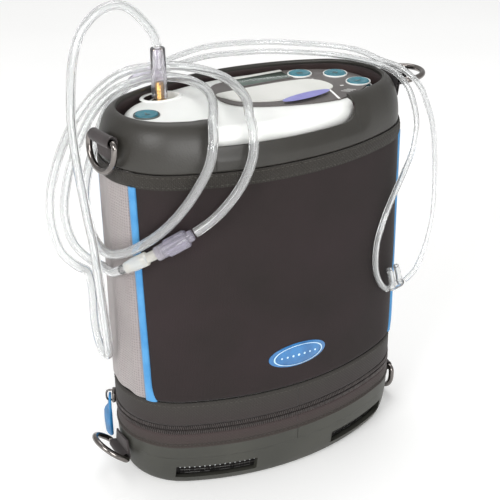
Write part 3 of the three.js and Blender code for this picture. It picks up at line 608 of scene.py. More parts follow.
tray = close_ends(round_wall(bag, 240, tray_profile(0, 0)))
inner_profile = tray_profile(TRAY_WALL, 0.004, 8) + [(TRAY_WALL, base_top + 0.01)]
tray_inside = close_ends(round_wall(bag, 120, inner_profile))
slot_size = (VENT["far"] - VENT["near"], 0.04, VENT["top"] - VENT["bottom"])
slots = [block((side * (VENT["near"] + VENT["far"]) / 2, face * 0.05, (VENT["bottom"] + VENT["top"]) / 2),
               slot_size, 0.0008)
         for side, face in VENTS]
make_piece(carve(tray, tray_inside, *slots), "tray", [eva], replaces=["base_tray"], sharp=35)

# ---- Vent screens ----
# Behind each slot is a piece of woven stainless wire cloth with a sheet of dark foam behind it.
# The crossings of the wires catch the light as rows of bright points, and the wire between them is painted
# darker as shade.


def rod(bm, start, end, radius, sides=6):
    """A round rod from point to point, closed at both ends."""
    way = end - start
    turn = way.to_track_quat("Z", "Y").to_matrix().to_4x4()
    bmesh.ops.create_cone(bm, cap_ends=True, segments=sides, radius1=radius, radius2=radius, depth=way.length,
                          matrix=Matrix.Translation((start + end) / 2) @ turn)


def beads(places):
    """Many small beads, each a unit ball put in its place. They are made in batches, which is quicker."""
    batches = []
    for start in range(0, len(places), 40):
        batch = bmesh.new()
        for where in places[start:start + 40]:
            bmesh.ops.create_uvsphere(batch, u_segments=6, v_segments=4, radius=1, matrix=where)
        batches.append((batch, 0))
    return merge(*batches)


# Stainless steel wire, drawn and woven: bright, with a slight haze.
wire_steel = grained("stainless_wire", "#b9bcbd", "#dadcdd", 0.002, 0.0005, 0.00001,
                     {"Metallic": 1.0, "Roughness": 0.35})
# The same wire between the crossings, painted darker as shade.
painted_shade_wire = grained("stainless_wire_painted_shade", "#4c4b4a", "#5d5c5a", 0.002, 0.0005, 0.00001,
                    {"Metallic": 1.0, "Roughness": 0.45})
# Open-cell polyurethane foam: near black and quite matt.
foam = grained("polyurethane_foam", "#161414", "#221f1e", 0.004, 0.0008, 0.0003, {"Roughness": 1.0})

# The knots run from the bottom row to the top one, and the two upper rows stand out.
WIRE = {"pitch": 0.0036, "rise": 0.0027, "radius": 0.00026, "knots": (0.0003, 0.0003, 0.0008, 0.00095),
        "behind": TRAY_WALL + 0.0009, "middle": 0.058}
FOAM_LEVELS = (0.0045, 0.0069, 0.0093, 0.0117, 0.0141, 0.0165, 0.019)
screens = []
upright = round((VENT["far"] - VENT["near"]) / WIRE["pitch"]) + 1
levels = [VENT["bottom"] + 0.001 + WIRE["rise"] * row for row in range(4)]
for side, face in VENTS:
    middle_along = (around / 2 if face > 0 else 0) - side * face * WIRE["middle"]
    crossings = [[on_wall(bag, middle_along + (i - (upright - 1) / 2) * WIRE["pitch"], height,
                          -tuck(height) - WIRE["behind"]) for height in levels] for i in range(upright)]
    screen = bmesh.new()
    for column in crossings:
        for here, there in zip(column, column[1:]):
            rod(screen, here, there, WIRE["radius"])
    for left, right in zip(crossings, crossings[1:]):
        for here, there in zip(left, right):
            rod(screen, here, there, WIRE["radius"])
    knots = beads([Matrix.Translation(point) @ Matrix.Scale(knot, 4)
                   for column in crossings for point, knot in zip(column, WIRE["knots"])])
    # The wires take the darker copy of the steel as painted shade, and the knots the bright one.
    screens += [(screen, 1), (knots, 0)]
foam_depth = WIRE["behind"] + 0.0018
foam_profile = [(foam_depth + tuck(height), height) for height in FOAM_LEVELS]
foam_skin = round_wall(bag, 160, foam_profile)
bmesh.ops.solidify(foam_skin, geom=foam_skin.faces, thickness=0.0008)
make_piece(merge(*screens, (foam_skin, 2)), "vent_screens", [wire_steel, painted_shade_wire, foam],
           replaces=["vent_mesh"], sharp=60)

# ---- Bands round the bottom of the bag ----
# Two bands of woven tape, one each side of the zip. The lower one is sewn over the tray's edge with a
# welt, and below the welt the tray's own sheet runs up under it.

ZIP_LEVEL = sum(corner.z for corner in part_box("zip_chain")) / 2
WELT_LEVEL = 0.0329
band_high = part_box("lower_band")[1].z
BAND_CLOTH = 0.0022
upper_low, upper_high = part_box("upper_band")[0].z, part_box("upper_band")[1].z


def woven_tape(name, low_colour, high_colour, low, high, rib, depth):
    """Woven tape whose colour drifts with height, in thread relief that follows the wall."""
    material = new_material(name)
    place = add_node(material, "ShaderNodeTexCoord")
    spot = add_node(material, "ShaderNodeSeparateXYZ", {"Vector": place.outputs["Object"]})
    drift = add_node(material, "ShaderNodeTexNoise",
                     {"Vector": place.outputs["Object"], "Scale": 1 / 0.018, "Detail": 4.0})
    wander = add_node(material, "ShaderNodeMath", {0: drift.outputs["Fac"], 1: 0.5 * (high - low)},
                      operation="MULTIPLY")
    level = add_node(material, "ShaderNodeMath", {0: spot.outputs["Z"], 1: wander.outputs["Value"]},
                     operation="ADD")
    share = add_node(material, "ShaderNodeMapRange", {"Value": level.outputs["Value"], "From Min": low,
                                                      "From Max": high + 0.5 * (high - low)})
    tone = add_node(material, "ShaderNodeValToRGB", {"Fac": share.outputs["Result"]},
                    stops=[(0.0, low_colour), (1.0, high_colour)])
    # A wave repeats every 2 * pi / 20 / scale metres.
    threads = add_node(material, "ShaderNodeTexWave",
                       {"Vector": place.outputs["UV"], "Scale": math.pi / 10 / rib, "Distortion": 0.6,
                        "Detail": 1.0}, bands_direction="DIAGONAL")
    picks = add_node(material, "ShaderNodeTexWave",
                     {"Vector": place.outputs["UV"], "Scale": math.pi / 10 / rib}, bands_direction="X")
    weave = add_node(material, "ShaderNodeMath", {0: threads.outputs["Fac"], 1: picks.outputs["Fac"]},
                     operation="MULTIPLY")
    relief = add_node(material, "ShaderNodeBump",
                      {"Height": weave.outputs["Value"], "Distance": depth, "Strength": 1.0})
    shade = add_node(material, "ShaderNodeMapRange",
                     {"Value": weave.outputs["Value"], "To Min": 0.82, "To Max": 1.12})
    colour = add_node(material, "ShaderNodeVectorMath",
                      {0: tone.outputs["Color"], "Scale": shade.outputs["Result"]}, operation="SCALE")
    return finish_material(material, {"Base Color": colour.outputs["Vector"], "Roughness": 0.85,
                                      "Specular IOR Level": 0.3, "Sheen Weight": 0.08, "Sheen Roughness": 0.5,
                                      "Normal": relief.outputs["Normal"]})


# Polyester twill tape: matt, with fine slanting ribs drawn at 1.1 mm, twice their size, so they show.
lower_tape = woven_tape("polyester_twill_lower", "#3b3632", "#403535", WELT_LEVEL, band_high, 0.0011, 0.0001)
upper_tape = woven_tape("polyester_twill_upper", "#342d2d", "#383632", upper_low, upper_high, 0.0011, 0.0001)


def swell(distance, width):
    """A smooth bump, one at its middle and nothing past its width."""
    return max(0, 1 - (distance / width) ** 2) ** 2


def band(low, high, rows, out_at):
    """A band round the bag whose face stands out by out_at(along, height)."""
    def place(u, v):
        height = low + (high - low) * v
        along = u * around
        return on_wall(bag, along, height, out_at(along, height) - tuck(height)), (along, height)

    return skin(300, rows, place)


def lower_out(along, height):
    welt = 0.0007 * swell(height - WELT_LEVEL, 0.0009) - 0.0005 * swell(height - WELT_LEVEL - 0.0016, 0.0008)
    edge = 0.0006 * swell(height - band_high, 0.0016)
    return welt - edge + 0.00012 * noise.noise(Vector((along * 60, height * 90, 1)))


BELOW_WELT = 0.0006
lower = band(base_top, band_high, 42, lower_out)
for face in lower.faces:
    face.material_index = 0 if face.calc_center_median().z > WELT_LEVEL - BELOW_WELT else 1
piece = make_piece(lower, "lower_tape", [lower_tape, eva], replaces=["lower_band"], sharp=80)
modify(piece, "SOLIDIFY", thickness=BAND_CLOTH, offset=-1)


def upper_out(along, height):
    top = 0.0009 * swell(height - upper_high, 0.0014)
    bottom = 0.0006 * swell(height - upper_low, 0.0016)
    return 0.0002 - top - bottom + 0.00015 * noise.noise(Vector((along * 60, height * 90, 5)))


piece = make_piece(band(upper_low, upper_high, 30, upper_out), "upper_tape", [upper_tape],
                   replaces=["upper_band"], sharp=80)
modify(piece, "SOLIDIFY", thickness=BAND_CLOTH, offset=-1)

# ---- Zip ----
# A closed nylon coil zip runs all round the bag, and opening it lets the tray hang away.
# The coil's turns show as two rows of fine ribs that meet in a line, on dark tape.

# Nylon coil and its tape, dyed dark brown grey; the lighter patches on the ribs are painted highlights.
coil_nylon_painted_highlights = grained("nylon_coil_painted_highlights", "#332d2c", "#463f3d", 0.003, 0.0006, 0.00003, {"Roughness": 0.38})
zip_tape = grained("polyester_zip_tape", "#1c1817", "#27211f", 0.004, 0.0007, 0.0001, {"Roughness": 0.9})


def facing_out(along):
    """Turns X to point straight out of the bag's wall."""
    outward = on_wall(bag, along, 0, 1) - on_wall(bag, along, 0)
    return Matrix.Rotation(math.atan2(outward.y, outward.x), 4, "Z")


# The ribs are drawn at a pitch of 1.4 mm, twice their size, so that they show.
RIB = {"pitch": 0.0014, "half": 0.0017, "wide": 0.00048, "deep": 0.0005, "middle": 0.0019, "slant": 14}
rib_places = []
rib_count = round(around / RIB["pitch"])
for i in range(rib_count):
    for row in (-1, 1):
        along = (i + 0.25 * row) * around / rib_count
        spot = on_wall(bag, along, ZIP_LEVEL + row * RIB["middle"], 0.0001)
        slant = Matrix.Rotation(math.radians(RIB["slant"] * row), 4, "X")
        size = Matrix.Diagonal((RIB["deep"], RIB["wide"], RIB["half"], 1))
        rib_places.append(Matrix.Translation(spot) @ facing_out(along) @ slant @ size)


def zip_out(_, height):
    return -0.0004 - 0.0006 * swell(height - ZIP_LEVEL, 0.0006)


zip_low, zip_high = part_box("zip_chain")[0].z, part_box("zip_chain")[1].z
TAPE_OVERLAP = 0.0002
tape = thicken(band(zip_low - TAPE_OVERLAP, zip_high + TAPE_OVERLAP, 24, zip_out), 0.002)
# The ribs' lighter patches are painted highlights.
make_piece(merge((beads(rib_places), 0), (tape, 1)), "zip_coil", [coil_nylon_painted_highlights, zip_tape],
           replaces=["zip_chain"], sharp=70)

# ---- Walls of the bag ----
# The front and back are neoprene faced with a smooth nylon knit, and the ends are pale spacer mesh.
# They are sewn edge to edge along four slanting seams with a blue piping in each.

panel_low, panel_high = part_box("front_panel")[0].z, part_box("front_panel")[1].z
SEAM_TOP = math.radians(31.5)
SEAM_BOTTOM = math.radians(36.3)
SEAM_TOP_LEVEL = 0.219
WALL_CLOTH = 0.0030
quarter = around / 4


def seam_reach(height):
    """How far round from the middle of an end a seam lies at this height."""
    part = (SEAM_TOP_LEVEL - height) / (SEAM_TOP_LEVEL - panel_low)
    return BAG_END_RADIUS * (SEAM_TOP + (SEAM_BOTTOM - SEAM_TOP) * part)


def wall_panel(middle, half_reach, out_at, columns):
    """A wall between two seams, centred round the bag at middle, tucked in at all its edges."""
    def place(u, v):
        height = panel_low + (panel_high - panel_low) * v
        half = half_reach(height)
        along = middle + half * (2 * u - 1)
        from_seam = half * (1 - abs(2 * u - 1))
        from_end = min(height - panel_low, panel_high - height)
        tucked = 0.0016 * swell(from_seam, 0.004) + 0.0012 * swell(from_end, 0.002)
        return on_wall(bag, along, height, out_at(along, height) - tucked), (along, height)

    return skin(columns, 96, place)


def knit_out(along, height):
    rise = (height - panel_low) / (panel_high - panel_low)
    puff = 0.0007 * math.sin(math.pi * min(1, max(0, rise))) ** 0.5
    return puff + 0.0004 * noise.noise(Vector((along * 16, height * 22, 3)))


def mesh_out(along, height):
    folds = 0.0005 * math.sin(along / 0.0031) + 0.0004 * math.sin(along / 0.0047 + height * 9)
    return folds + 0.0005 * noise.noise(Vector((along * 30, height * 12, 7)))


# Neoprene faced with nylon knit: dark purplish grey, matt, with a fine loop texture and a soft bloom.
neoprene = new_material("neoprene_nylon_knit")
place_node = add_node(neoprene, "ShaderNodeTexCoord")
drift_node = add_node(neoprene, "ShaderNodeTexNoise",
                      {"Vector": place_node.outputs["Object"], "Scale": 1 / 0.05, "Detail": 5.0})
tone_node = add_node(neoprene, "ShaderNodeValToRGB", {"Fac": drift_node.outputs["Fac"]},
                     stops=[(0.3, "#25201f"), (0.7, "#2c2425")])
# Knit loops 0.45 mm across, drawn at 0.9 mm so that they show.
loops_node = add_node(neoprene, "ShaderNodeTexVoronoi",
                      {"Vector": place_node.outputs["UV"], "Scale": 1 / 0.0009, "Randomness": 0.35})
relief_node = add_node(neoprene, "ShaderNodeBump",
                       {"Height": loops_node.outputs["Distance"], "Distance": -0.00012, "Strength": 1.0})
finish_material(neoprene, {"Base Color": tone_node.outputs["Color"], "Roughness": 0.9,
                           "Specular IOR Level": 0.25, "Sheen Weight": 0.06, "Sheen Roughness": 0.4,
                           "Normal": relief_node.outputs["Normal"]})

# Polyester spacer mesh: pale warm grey, with rows of small holes that show the dark lining.
spacer_mesh = new_material("polyester_spacer_mesh")
place_node = add_node(spacer_mesh, "ShaderNodeTexCoord")
# Holes 0.9 mm across at a 1.9 mm pitch, in rows along the wall.
holes_node = add_node(spacer_mesh, "ShaderNodeTexVoronoi",
                      {"Vector": place_node.outputs["UV"], "Scale": 1 / 0.0019, "Randomness": 0.12})
edge_node = add_node(spacer_mesh, "ShaderNodeMapRange",
                     {"Value": holes_node.outputs["Distance"], "From Min": 0.12, "From Max": 0.34})
drift_node = add_node(spacer_mesh, "ShaderNodeTexNoise",
                      {"Vector": place_node.outputs["Object"], "Scale": 1 / 0.03, "Detail": 3.0})
tone_node = add_node(spacer_mesh, "ShaderNodeValToRGB", {"Fac": drift_node.outputs["Fac"]},
                     stops=[(0.3, "#8e8685"), (0.7, "#9a9291")])
shade_node = add_node(spacer_mesh, "ShaderNodeMapRange",
                      {"Value": edge_node.outputs["Result"], "To Min": 0.62, "To Max": 1.04})
colour_node = add_node(spacer_mesh, "ShaderNodeVectorMath",
                       {0: tone_node.outputs["Color"], "Scale": shade_node.outputs["Result"]},
                       operation="SCALE")
relief_node = add_node(spacer_mesh, "ShaderNodeBump",
                       {"Height": edge_node.outputs["Result"], "Distance": 0.0004, "Strength": 1.0})
finish_material(spacer_mesh, {"Base Color": colour_node.outputs["Vector"], "Roughness": 0.85,
                              "Sheen Weight": 0.3, "Normal": relief_node.outputs["Normal"]})

for name, middle, node in (("front_wall", 0, "front_panel"), ("back_wall", 2 * quarter, "back_panel")):
    bm = wall_panel(middle, lambda height: quarter - seam_reach(height), knit_out, 110)
    piece = make_piece(bm, name, [neoprene], replaces=[node], sharp=80)
    modify(piece, "SOLIDIFY", thickness=WALL_CLOTH, offset=-1)
for name, middle, node in (("right_mesh", quarter, "side_mesh_right"),
                           ("left_mesh", -quarter, "side_mesh_left")):
    bm = wall_panel(middle, seam_reach, mesh_out, 80)
    piece = make_piece(bm, name, [spacer_mesh], replaces=[node], sharp=80)
    modify(piece, "SOLIDIFY", thickness=WALL_CLOTH, offset=-1)

# ---- Piping ----
# A filled cord in bright blue bias binding, sewn into each of the four seams.
# At the bottom its free end spreads flat into the band's seam.

# Woven polyester binding, dyed blue: satin, with threads across the cord.
piping_blue = grained("polyester_binding_blue", "#3480b8", "#478fc3", 0.012, 0.0008, 0.00005,
                      {"Roughness": 0.55, "Sheen Weight": 0.2})
PIPE = {"half": 0.0027, "rise": 0.0021, "flare": 0.0016, "flare_length": 0.014}


def piping(seam_side, end_middle, toward_wall):
    """One piping: seam_side is which way round from the end's middle its seam lies."""
    def place(u, v):
        height = panel_low + 0.0002 + (SEAM_TOP_LEVEL + 0.0004 - panel_low) * v
        turn = -2 * math.pi * u
        spread = max(0, 1 - (height - panel_low) / PIPE["flare_length"]) ** 2
        half = PIPE["half"] + PIPE["flare"] * spread
        rise = PIPE["rise"] * (1 - 0.35 * spread)
        middle = end_middle + seam_side * seam_reach(height) + toward_wall * PIPE["flare"] * spread
        along = middle + half * math.cos(turn)
        return on_wall(bag, along, height, rise * math.sin(turn) - 0.0002), (u * 0.015, height)

    return close_ends(skin(20, 60, place))


for name, seam_side, end_middle in (("piping_front_left", 1, -quarter), ("piping_front_right", -1, quarter),
                                    ("piping_back_left", -1, -quarter), ("piping_back_right", 1, quarter)):
    bm = piping(seam_side, end_middle, seam_side)
    make_piece(bm, name + "_cord", [piping_blue], replaces=[name], sharp=60)

# ---- Ribbon under the cap ----
# A grosgrain ribbon covers the seam between the walls and the cap, sewn down along both edges.
# The sewing puckers it.

# Grosgrain ribbon in polyester: dull olive black, with close upright ribs.
ribbon_cloth = woven_tape("polyester_grosgrain", "#2e2b27", "#34312d", 0.219, 0.2287, 0.0012, 0.0003)
# Bonded polyester thread, a shade lighter than the cloth.
thread = grained("bonded_polyester_thread", "#33302b", "#3b3732", 0.004, 0.0004, 0.00003, {"Roughness": 0.6})
RIBBON_LOW, RIBBON_HIGH = 0.2193, 0.2286
STITCH = {"pitch": 0.0032, "length": 0.0022, "high": 0.0007, "rise": 0.00028}


def ribbon_out(along, height):
    part = (height - RIBBON_LOW) / (RIBBON_HIGH - RIBBON_LOW)
    crown = 0.0006 + 0.0006 * math.sin(math.pi * part)
    pucker = 0.0005 * noise.noise(Vector((along * 420, height * 260, 4))) * math.sin(math.pi * part)
    return crown + pucker + 0.0002 * noise.noise(Vector((along * 120, height * 200, 9)))


def stitch_row(level, out):
    """A row of stitches all round the bag, each a short raised bead."""
    count = round(around / STITCH["pitch"])
    size = Matrix.Diagonal((STITCH["rise"], STITCH["length"] / 2, STITCH["high"] / 2, 1))
    places = []
    for i in range(count):
        along = i * around / count
        places.append(Matrix.Translation(on_wall(bag, along, level, out)) @ facing_out(along) @ size)
    return beads(places)


ribbon = thicken(band(RIBBON_LOW, RIBBON_HIGH, 12, ribbon_out), 0.0012)
ribbon_sewing = [(stitch_row(level, 0.00085), 1) for level in (RIBBON_LOW + 0.0016, RIBBON_HIGH - 0.0014)]
make_piece(merge((ribbon, 0), *ribbon_sewing), "ribbon", [ribbon_cloth, thread], sharp=70)

welt_sewing = stitch_row(WELT_LEVEL + 0.0018, 0.0001 - tuck(WELT_LEVEL))
band_sewing = stitch_row(panel_low - 0.0026, 0.0002)
make_piece(merge((welt_sewing, 0), (band_sewing, 0)), "band_stitches", [thread], sharp=80)

# ---- Rim cap ----
# A padded collar of embossed vinyl leans in over the top of the bag and is lined in dark knit.
# Its front is cut away so that the deck shows, and the edge of the cut is turned in and sewn.

# PVC leathercloth, embossed: warm dark grey with a low gloss and a pebble about 1 mm across.
vinyl = new_material("pvc_leathercloth")
place_node = add_node(vinyl, "ShaderNodeTexCoord")
drift_node = add_node(vinyl, "ShaderNodeTexNoise",
                      {"Vector": place_node.outputs["Object"], "Scale": 1 / 0.04, "Detail": 4.0})
tone_node = add_node(vinyl, "ShaderNodeValToRGB", {"Fac": drift_node.outputs["Fac"]},
                     stops=[(0.3, "#2b2925"), (0.7, "#34322e")])
pebble_node = add_node(vinyl, "ShaderNodeTexVoronoi",
                       {"Vector": place_node.outputs["Object"], "Scale": 1 / 0.0011}, feature="SMOOTH_F1")
relief_node = add_node(vinyl, "ShaderNodeBump",
                       {"Height": pebble_node.outputs["Distance"], "Distance": -0.00008, "Strength": 1.0})
finish_material(vinyl, {"Base Color": tone_node.outputs["Color"], "Roughness": 0.42, "Coat Weight": 0.1,
                        "Coat Roughness": 0.3, "Specular IOR Level": 0.4,
                        "Normal": relief_node.outputs["Normal"]})
# Brushed polyester lining: very dark reddish brown and matt.
lining = grained("brushed_polyester_lining", "#3b2928", "#473432", 0.01, 0.0009, 0.0002,
                 {"Roughness": 0.95, "Sheen Weight": 0.2})

cap_low, cap_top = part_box("rim_cap")[0].z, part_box("rim_cap")[1].z
CAP_BEND = 0.232
CAP_LEAN = 0.0122
CAP_CLOTH = 0.0028
WINDOW = {"left": -0.054, "right": 0.049, "bottom": 0.244, "corner": 0.012, "fold": 0.009}


def cap_top_at(along):
    """The height of the cap's edge: its crest, or the edge of the cut-away at the front."""
    spot = on_wall(bag, along, 0)
    if spot.y > 0 or not WINDOW["left"] < spot.x < WINDOW["right"]:
        return cap_top
    into_corner = (spot.x - WINDOW["right"]) / WINDOW["corner"] + 1
    if into_corner <= 0:
        return WINDOW["bottom"]
    return WINDOW["bottom"] + WINDOW["corner"] * (1 - math.sqrt(1 - into_corner)) ** 2


def window_distance(spot):
    """How far a point on the cap lies from the cut-away."""
    if spot.y > 0:
        return 1
    aside = max(WINDOW["left"] - spot.x, spot.x - WINDOW["right"], 0)
    return math.hypot(aside, max(WINDOW["bottom"] - spot.z, 0))


def find_along(x):
    """How far round the front, from its middle, the wall reaches this X."""
    low, high = 0.0, quarter
    for _ in range(30):
        middle = (low + high) / 2
        low, high = (middle, high) if on_wall(bag, middle, 0).x < abs(x) else (low, middle)
    return math.copysign(low, x)


def cap_columns():
    """Places round the cap, one each side of both jumps in its edge."""
    left, right = find_along(WINDOW["left"]), find_along(WINDOW["right"])
    hair = 0.00015
    stretches = [(left + hair, right - hair, 60), (right + hair, around + left - hair, 200)]
    columns = [start + (end - start) * step / steps for start, end, steps in stretches
               for step in range(steps + 1)]
    return columns + [around + left + hair]


columns = cap_columns()
STRAIGHT_ROWS = 3
CURVED_ROWS = 22


def cap_place(u, v):
    along = columns[round(u * (len(columns) - 1))]
    row = round(v * (STRAIGHT_ROWS + CURVED_ROWS))
    if row <= STRAIGHT_ROWS:
        height = cap_low + (CAP_BEND - cap_low) * row / STRAIGHT_ROWS
        inset = 0.0
    else:
        last = math.asin(min(1, (cap_top_at(along) - CAP_BEND) / (cap_top - CAP_BEND)))
        turn = last * (row - STRAIGHT_ROWS) / CURVED_ROWS
        height = CAP_BEND + (cap_top - CAP_BEND) * math.sin(turn)
        inset = CAP_LEAN * (1 - math.cos(turn))
    flat = on_wall(bag, along, height, -inset)
    folded = 0.0018 * swell(window_distance(flat), WINDOW["fold"])
    puff = 0.0005 * noise.noise(Vector((along * 14, height * 30, 2)))
    lip = 0.0004 * swell(height - cap_low, 0.0014)
    return on_wall(bag, along, height, puff - inset - folded - lip), (along, height)


cap = make_piece(skin(len(columns) - 1, STRAIGHT_ROWS + CURVED_ROWS, cap_place), "cap", [vinyl, lining],
                 replaces=["rim_cap"], sharp=60)
modify(cap, "SOLIDIFY", thickness=CAP_CLOTH, offset=-1, material_offset=1, material_offset_rim=0)

# ---- Badge ----
# An oval domed badge in blue enamel resin on a metal plate, stuck low on the front wall.
# It carries a pale border line and a plain row of dots.

# Resin over blue print: deep and glossy.
blue_enamel = grained("domed_resin_blue", "#1e5f96", "#2873ae", 0.01, 0.002, 0.000005,
                      {"Roughness": 0.15, "Coat Weight": 0.8, "Coat Roughness": 0.06})
pale_enamel = grained("domed_resin_pale", "#a9cde8", "#c2def0", 0.01, 0.002, 0.000005,
                      {"Roughness": 0.2, "Coat Weight": 0.5})
BADGE = {"x": -0.001, "z": 0.092, "half_width": 0.0215, "half_height": 0.0085, "skirt": 0.0016}
DOTS = {"each_side": 3, "pitch": 0.0042, "radius": 0.0011, "fade": 0.00012}


def badge_disc(scale, base, dome):
    """A domed oval on the front wall, scale of the badge's size."""
    def place(u, v):
        turn = 2 * math.pi * u
        reach = scale * (1 - v)
        x = BADGE["half_width"] * reach * math.cos(turn)
        z = BADGE["half_height"] * reach * math.sin(turn)
        rise = base + dome * (1 - (1 - v) ** 3)
        return on_wall(bag, BADGE["x"] + x, BADGE["z"] + z, rise), (x, z)

    return skin(64, 12, place)


plate = badge_disc(1.0, 0.0008, 0.0012)
rim_edges = [edge for edge in plate.edges if edge.is_boundary]
rim = bmesh.ops.extrude_edge_only(plate, edges=rim_edges)
rim_verts = [item for item in rim["geom"] if isinstance(item, bmesh.types.BMVert)]
bmesh.ops.translate(plate, vec=(0, BADGE["skirt"], 0), verts=rim_verts)
bmesh.ops.recalc_face_normals(plate, faces=plate.faces)


def badge_ring(scale, width):
    """A thin raised border line on the badge."""
    def place(u, v):
        turn = 2 * math.pi * u
        reach = scale - width * v
        x = BADGE["half_width"] * reach * math.cos(turn)
        z = BADGE["half_height"] * reach * math.sin(turn)
        return on_wall(bag, BADGE["x"] + x, BADGE["z"] + z, 0.00215 - 0.0009 * reach ** 3), (x, z)

    return skin(64, 2, place)


dots = bmesh.new()
for i in range(-DOTS["each_side"], DOTS["each_side"] + 1):
    spot = on_wall(bag, BADGE["x"] + i * DOTS["pitch"], BADGE["z"], 0.0018)
    radius = DOTS["radius"] - DOTS["fade"] * abs(i)
    bmesh.ops.create_uvsphere(dots, u_segments=12, v_segments=6, radius=radius,
                              matrix=Matrix.Translation(spot) @ Matrix.Diagonal((1, 0.35, 1, 1)))
make_piece(merge((plate, 0), (badge_ring(0.86, 0.05), 1), (dots, 1)), "front_badge",
           [blue_enamel, pale_enamel], replaces=["badge"], sharp=35)

# ---- Strap tabs and D-rings ----
# Four short loops of black webbing are sewn to the ends of the bag, two high and two low.
# Each holds a D-ring of 4 mm wire for a shoulder strap, which swings in its loop.


def frames_along(points, closed=False):
    """Two cross directions at each point of a path, carried along it without twist."""
    last = len(points) - 1
    ways = [(points[min(i + 1, last)] - points[max(i - 1, 0)]).normalized() for i in range(last + 1)]
    if closed:
        ways[0] = ways[last] = (points[1] - points[-2]).normalized()
    side = ways[0].orthogonal().normalized()
    pairs = []
    for i, way in enumerate(ways):
        if i:
            side = ways[i - 1].rotation_difference(way) @ side
        pairs.append((side, way.cross(side)))
    return pairs


def tube(points, radius, sides=16, closed=False):
    """A round bar along a path, its ends joined or closed flat. The radius may change along it."""
    pairs = frames_along(points, closed)
    radii = radius if isinstance(radius, list) else [radius] * len(points)

    def place(u, v):
        i = round(v * (len(points) - 1))
        turn = 2 * math.pi * u
        side, other = pairs[i]
        return points[i] + radii[i] * (side * math.cos(turn) + other * math.sin(turn)), (turn * radii[i], i)

    return close_ends(skin(sides, len(points) - 1, place))


# Steel wire, bent, welded and plated in dark nickel: a mirror with sharp highlights.
black_nickel = grained("steel_black_nickel", "#75706d", "#85807d", 0.006, 0.0012, 0.000006,
                       {"Metallic": 1.0, "Roughness": 0.1})
# Polyester webbing, dyed a warm black: close woven and matt.
webbing = grained("polyester_webbing", "#2a2424", "#352d2d", 0.01, 0.0009, 0.0002,
                  {"Roughness": 0.75, "Sheen Weight": 0.15})
RING = {"half_span": 0.0147, "reach": 0.0205, "wire": 0.002, "corner": 0.003}
TAB = {"half_width": 0.011, "bend": 0.0032, "layer": 0.0007, "inner": 0.0018, "taper": 0.0025}
BAR_OUT = 0.0512
RINGS = {
    "upper_left": {"side": -1, "angle": 9, "height": 0.247, "tilt": 6, "tail": -0.012},
    "upper_right": {"side": 1, "angle": 2, "height": 0.250, "tilt": 93, "tail": -0.012},
    "lower_left": {"side": -1, "angle": 1, "height": 0.016, "tilt": 130, "tail": 0.012},
    "lower_right": {"side": 1, "angle": 3, "height": 0.024, "tilt": 0, "tail": 0.012},
}
end_centre = bag_high.x - BAG_END_RADIUS


def on_end(side, angle, radius, height):
    """Turns X to point out of an end of the bag, at this angle round it, with the origin on its wall."""
    turn = math.radians(-angle if side > 0 else 180 + angle)
    return (Matrix.Translation((side * end_centre, 0, 0)) @ Matrix.Rotation(turn, 4, "Z")
            @ Matrix.Translation((radius, 0, height)))


def arc(centre_y, centre_z, radius, first, last, steps):
    """Points of an arc in the plane of Y and Z."""
    turns = [math.radians(first + (last - first) * step / steps) for step in range(steps + 1)]
    return [Vector((0, centre_y + radius * math.cos(turn), centre_z + radius * math.sin(turn)))
            for turn in turns]


def ring_path():
    """The centre line of a ring that hangs from its bar."""
    half, corner = RING["half_span"], RING["corner"]
    path = arc(half - corner, -corner, corner, 90, 0, 6)
    path += arc(0, half - RING["reach"], half, 0, -180, 36)
    path += arc(corner - half, -corner, corner, 180, 90, 6)
    bar = [path[-1].lerp(path[0], step / 10) for step in range(1, 10)]
    return path + bar + [path[0]]


def tab_strip(tail):
    """A strap folded round a bar: up one side, round, and back down on itself."""
    up = math.copysign(1, tail)
    bend, inner = TAB["bend"], TAB["inner"]
    meet = math.degrees(math.acos(-inner / bend))
    route = [Vector((-bend, 0, abs(tail) * step / 6)) for step in range(6, 0, -1)]
    turns = [math.radians(180 + (180 + meet) * step / 28) for step in range(29)]
    route += [Vector((bend * math.cos(turn), 0, bend * math.sin(turn))) for turn in turns]
    foot = route[-1].z
    route += [Vector((-inner, 0, foot + (abs(tail) - foot) * step / 6)) for step in range(1, 7)]

    def place(u, v):
        spot = route[round(v * (len(route) - 1))]
        narrow = 0.0005 * (2 * u - 1) ** 4
        across = (TAB["half_width"] - TAB["taper"] * max(0, spot.z / abs(tail))) * (2 * u - 1)
        return Vector((spot.x - narrow, across, spot.z * up)), (across, v * 0.05)

    return skin(10, len(route) - 1, place)


for name, ring in RINGS.items():
    where = on_end(ring["side"], ring["angle"], BAR_OUT, ring["height"])
    strip = thicken(tab_strip(ring["tail"]), TAB["layer"])
    bmesh.ops.transform(strip, matrix=where, verts=strip.verts)
    piece = make_piece(strip, f"strap_tab_{name}", [webbing], replaces=[f"tab_{name}"], sharp=45)
    modify(piece, "BEVEL", width=0.0003, segments=2, limit_method="ANGLE")
    d_ring = tube(ring_path(), RING["wire"], 16, closed=True)
    swing = Matrix.Rotation(math.radians(-ring["tilt"]), 4, "Y")
    bmesh.ops.transform(d_ring, matrix=where @ swing, verts=d_ring.verts)
    make_piece(d_ring, f"ring_wire_{name}", [black_nickel], body=f"ring_{name}",
               replaces=[f"d_ring_{name}"], sharp=60)

# ---- Zip slider and pull ----
# A die-cast slider on the coil, parked on the left end, with a wire bail over it.
# A flat tongue of blue rubber hangs from the bail.

# PVC rubber, moulded blue: satin and slightly soft at the edges.
pull_rubber = grained("pvc_rubber_blue", "#1f6698", "#2b7fb8", 0.01, 0.0007, 0.00004,
                      {"Roughness": 0.42, "Coat Weight": 0.1})
SLIDER_ANGLE = -25
SLIDER = {"low": 0.0004, "high": 0.003, "half_width": 0.005, "half_height": 0.0036}
PULL_OUT = 0.0046
PULL = {"half_width": 0.004, "top": 0.0012, "length": 0.034, "slot_half": 0.0017, "slot_low": -0.0068,
        "slot_high": -0.0006, "thickness": 0.0016, "bulge": 0.0008, "twist": 34,
        "twist_length": 0.006, "outset": 0.0017}

